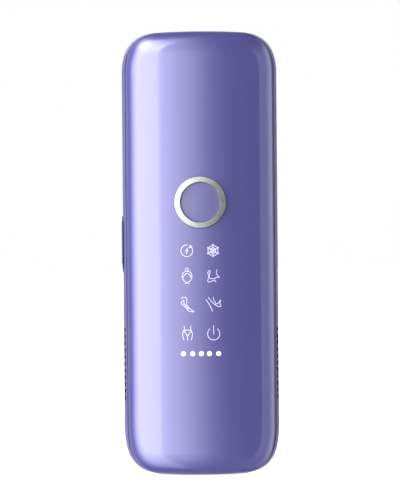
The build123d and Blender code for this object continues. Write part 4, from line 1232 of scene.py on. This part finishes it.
def circuit_board(name, mask, track):
    """Solder mask over copper tracks, which run in straight steps between soldered pads."""
    made = new_material(name, mask, 0.35)
    cells = node(made, "ShaderNodeTexVoronoi", distance="CHEBYCHEV", feature="F1", scale=1.0)
    join(made, object_place(made, (0.45, 0.45, 0.45)), cells.inputs["Vector"])
    lines = node(made, "ShaderNodeMath", operation="PINGPONG")
    lines.inputs[1].default_value = 0.09
    join(made, cells.outputs["Distance"], lines.inputs[0])
    tracks = spread(made, lines.outputs["Value"], 0.0, 1.0, 0.045, 0.055)
    vary_colour(made, tracks, mask, track, 0.0, 1.0)
    vary_roughness(made, noise(made, 2.0), 0.3, 0.42)
    bump(made, tracks, 0.02)
    return made


def wound_wire(name, colour, roughness):
    """Metal with the fine grooves of drawn tube or wound wire across its length."""
    made = metal(name, colour, roughness)
    threads = node(made, "ShaderNodeTexWave", bands_direction="Z", scale=1.0)
    join(made, object_place(made, (0.02, 0.02, 0.9)), threads.inputs["Vector"])
    bump(made, threads.outputs["Fac"], 0.03)
    return made


def brushed(name, colour, roughness):
    """Metal with long brush marks along its height."""
    made = metal(name, colour, roughness)
    marks = node(made, "ShaderNodeTexNoise", scale=1.0, detail=3.0)
    join(made, object_place(made, (6.0, 6.0, 0.15)), marks.inputs["Vector"])
    vary_roughness(made, marks.outputs["Fac"], roughness * 0.7, roughness * 1.3)
    bump(made, marks.outputs["Fac"], 0.004)
    return made


def clear_stone(name, colour, roughness, ior):
    made = new_material(name, colour, roughness, transmission_weight=1.0, ior=ior)
    vary_roughness(made, noise(made, 2.0), roughness, roughness + 0.03)
    return made


all_materials = [
    pearl_plastic("purple_gloss", (0.090, 0.083, 0.28), 0.35, 1.0, 0.04),
    pearl_plastic("button_face", (0.102, 0.092, 0.28), 0.45, 0.9, 0.14),
    pearl_plastic("purple_shell", (0.094, 0.081, 0.31), 0.4, 0.7, 0.12),
    moulded_plastic("dark_plastic", (0.02, 0.018, 0.026), 0.42),
    moulded_plastic("black_plastic", (0.012, 0.012, 0.013), 0.5),
    moulded_plastic("grey_plastic", (0.22, 0.22, 0.23), 0.5),
    metal("satin_metal", (0.6, 0.62, 0.6), 0.49, 0.15, 0.00005),
    brushed("aluminium", (0.75, 0.76, 0.78), 0.35),
    metal("bright_metal", (0.9, 0.9, 0.9), 0.12),
    metal("steel", (0.55, 0.55, 0.56), 0.3),
    wound_wire("copper", (0.85, 0.42, 0.25), 0.32),
    clear_stone("sapphire", (0.93, 0.96, 1.0), 0.02, 1.77),
    clear_stone("quartz", (0.98, 0.98, 1.0), 0.03, 1.46),
    clear_stone("amber_glass", (0.95, 0.55, 0.12), 0.03, 1.5),
    moulded_plastic("rubber", (0.02, 0.02, 0.02), 0.75),
    circuit_board("board_green", (0.012, 0.09, 0.04), (0.05, 0.22, 0.09)),
    moulded_plastic("ceramic", (0.75, 0.74, 0.7), 0.45),
    lit_plastic("light_white", (0.9, 0.9, 0.95), 0.55),
    lit_plastic("lit_sign", (0.5, 0.48, 0.72), 0.45),
    matt_black(),
    moulded_plastic("ferrite", (0.05, 0.048, 0.047), 0.6, 0.6),
    moulded_plastic("wire_red", (0.5, 0.03, 0.02), 0.45),
]
# Blender adds a number after a dot when the CAD's own material has the same name.
materials = {made.name.split(".")[0]: made for made in all_materials}
for cad_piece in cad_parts.values():
    for place in cad_piece.material_slots:
        place.material = materials[place.material.name.split(".")[0]]


# ---------------------------------------------------------------- pieces

front_cover()
rear_shell()
button_ring()
main_button()
button_spring()
level_lights()
side_bezel()
side_button()
# Dark linings in the air slots: painted shade
painted_vent_shade()
touch_signs()


# ---------------------------------------------------------------- studio

floor_half = 30
floor_drop = 0.0001
floor_corners = [(x * floor_half, y * floor_half, 0) for x, y in ((-1, -1), (1, -1), (1, 1), (-1, 1))]
floor_mesh = bpy.data.meshes.new("studio_floor")
floor_mesh.from_pydata(floor_corners, [], [(0, 1, 2, 3)])
floor = new_object("studio_floor", floor_mesh)
floor.location.z = -floor_drop
floor_glow = dict(emission_color=(1.0, 1.0, 1.0), emission_strength=0.8)
floor_mesh.materials.append(new_material("studio_floor", (0.8, 0.8, 0.8), 0.8, **floor_glow))
floor.visible_glossy = False

# Soft panels round the object. Each has its radiance by azimuth, in degrees from the camera's side and
# negative to the left, and the share of it by height, from straight down (-1) to straight up (1).
panels = {
    "key": (
        [(-118, 0.0), (-108, 0.15), (-98, 0.8), (-88, 2.5), (-76, 4.0), (-66, 5.4), (-54, 6.2), (-29, 6.0),
         (-27.5, 0.0)],
        [(-1.0, 0.03), (-0.96, 0.2), (-0.84, 0.4), (-0.65, 0.55), (-0.44, 0.71), (-0.2, 0.84), (-0.08, 0.93),
         (0.0, 1.0), (0.17, 1.1), (0.42, 1.2), (0.64, 1.15), (0.8, 0.7), (0.92, 0.35), (1.0, 0.15)],
    ),
    "above": (
        [(-150, 0.0), (-120, 2.0), (-95, 5.5), (-75, 7.0), (-58, 4.5), (-38, 0.0)],
        [(0.4, 0.0), (0.65, 0.7), (0.8, 1.0), (0.9, 0.45), (0.955, 0.0)],
    ),
    "front": (
        [(-29, 0.0), (-27.5, 4.0), (-19, 3.1), (-11, 2.5), (-2, 1.6), (8, 0.5), (20, 0.07), (30, 0.0)],
        [(-1.0, 0.05), (-0.87, 0.2), (-0.69, 0.38), (-0.48, 0.68), (-0.25, 0.65), (-0.05, 0.95), (0.05, 0.95),
         (0.17, 0.8), (0.42, 0.58), (0.8, 0.5), (0.95, 0.3), (1.0, 0.25)],
    ),
    "right": (
        [(44, 0.0), (49, 0.65), (70, 0.6), (87, 0.45), (100, 0.8), (120, 1.1), (139, 0.95), (152, 0.0)],
        [(-1.0, 0.1), (-0.6, 0.5), (-0.2, 1.0), (0.3, 1.0), (0.5, 0.4), (0.7, 0.1), (1.0, 0.03)],
    ),
    "backdrop": (
        [(-180, 1.6), (-170, 1.3), (-162, 0.4), (-150, 0.3), (-139, 0.5), (-128, 0.0),
         (155, 0.0), (162, 0.3), (172, 1.0), (180, 1.6)],
        [(-1.0, 0.1), (-0.6, 0.4), (-0.3, 1.0), (0.3, 1.0), (0.6, 0.15), (1.0, 0.05)],
    ),
}


def studio_light():
    world = bpy.data.worlds.new("studio")
    bpy.context.scene.world = world
    world.use_nodes = True
    world.node_tree.nodes.clear()
    where = node(world, "ShaderNodeTexCoord")
    split = node(world, "ShaderNodeSeparateXYZ")
    join(world, where.outputs["Generated"], split.inputs["Vector"])

    def maths(operation, *values):
        step = node(world, "ShaderNodeMath", operation=operation)
        for socket, value in zip(step.inputs, values):
            if isinstance(value, (int, float)):
                socket.default_value = value
            else:
                join(world, value, socket)
        return step.outputs[0]

    def from_minus_one(value):
        return maths("MULTIPLY_ADD", value, 0.5, 0.5)

    def curve(value, stops, limit):
        """A piecewise linear function of a value that runs from 0 to 1, with stops from -limit to limit."""
        highest = max(level for _, level in stops)
        ramp = node(world, "ShaderNodeValToRGB")
        join(world, value, ramp.inputs["Fac"])
        elements = ramp.color_ramp.elements
        elements.remove(elements[-1])
        for k, (at, level) in enumerate(stops):
            position = (at / limit + 1) / 2
            stop = elements[0] if k == 0 else elements.new(position)
            stop.position = position
            stop.color = (*[level / highest] * 3, 1)
        return maths("MULTIPLY", ramp.outputs["Color"], highest)

    front = maths("MULTIPLY", split.outputs["Y"], -1)
    azimuth = from_minus_one(maths("DIVIDE", maths("ARCTAN2", split.outputs["X"], front), math.pi))
    height = from_minus_one(split.outputs["Z"])
    total = 0.0
    for by_azimuth, by_height in panels.values():
        panel = maths("MULTIPLY", curve(azimuth, by_azimuth, 180), curve(height, by_height, 1))
        total = maths("ADD", panel, total)

    # The camera sees a white backdrop instead of the panels.
    lit = node(world, "ShaderNodeBackground")
    join(world, total, lit.inputs["Strength"])
    backdrop = node(world, "ShaderNodeBackground", strength=1.0)
    backdrop.inputs["Color"].default_value = (1, 1, 1, 1)
    path = node(world, "ShaderNodeLightPath")
    mix = node(world, "ShaderNodeMixShader")
    for number, output in enumerate((path.outputs["Is Camera Ray"], lit.outputs[0], backdrop.outputs[0])):
        join(world, output, mix.inputs[number])
    join(world, mix.outputs[0], node(world, "ShaderNodeOutputWorld").inputs["Surface"])


def fill_light(name, shape, size, place, turn, power):
    """A soft lamp that lights the object without showing in its gloss or in the picture."""
    lamp = bpy.data.lights.new(name, "AREA")
    lamp.shape = shape
    lamp.size = size
    lamp.energy = power
    holder = new_object(name, lamp)
    holder.location = place
    holder.rotation_euler = turn
    holder.visible_glossy = False
    holder.visible_camera = False


studio_light()

# Places and sizes of the lamps, in metres, and their powers
side_x, side_lamp_y, side_lamp_z, side_size = 0.7, 0.05, body_height * MM / 2, 0.4
end_lamp_y, top_lamp_z, low_lamp_z, end_size = -0.01, 0.2, 0.0004, 0.09
left_place = (-side_x, side_lamp_y, side_lamp_z)
right_place = (side_x, side_lamp_y, side_lamp_z)
fill_light("left_fill", "SQUARE", side_size, left_place, (quarter, 0, -quarter), 6.0)
fill_light("right_fill", "SQUARE", side_size, right_place, (quarter, 0, quarter), 3.5)
fill_light("top_fill", "DISK", end_size, (0, end_lamp_y, top_lamp_z), (0, 0, 0), 0.018)
fill_light("low_fill", "DISK", end_size, (0, end_lamp_y, low_lamp_z), (math.pi, 0, 0), 0.008)

# A long lens square to the front. Its slight roll leans the body's top end to the left.
camera_place = (-0.00017, -2.5, 0.08104)
camera_roll_degrees = 0.5
camera_data = bpy.data.cameras.new("camera")
camera = new_object("camera", camera_data)
camera.location = camera_place
camera.rotation_euler = (quarter, math.radians(camera_roll_degrees), 0)
camera_data.sensor_fit = "VERTICAL"
camera_data.sensor_height = 36
camera_data.lens = 497.5
camera_data.clip_end = 100
bpy.context.scene.camera = camera
bpy.context.scene.view_settings.view_transform = "Standard"
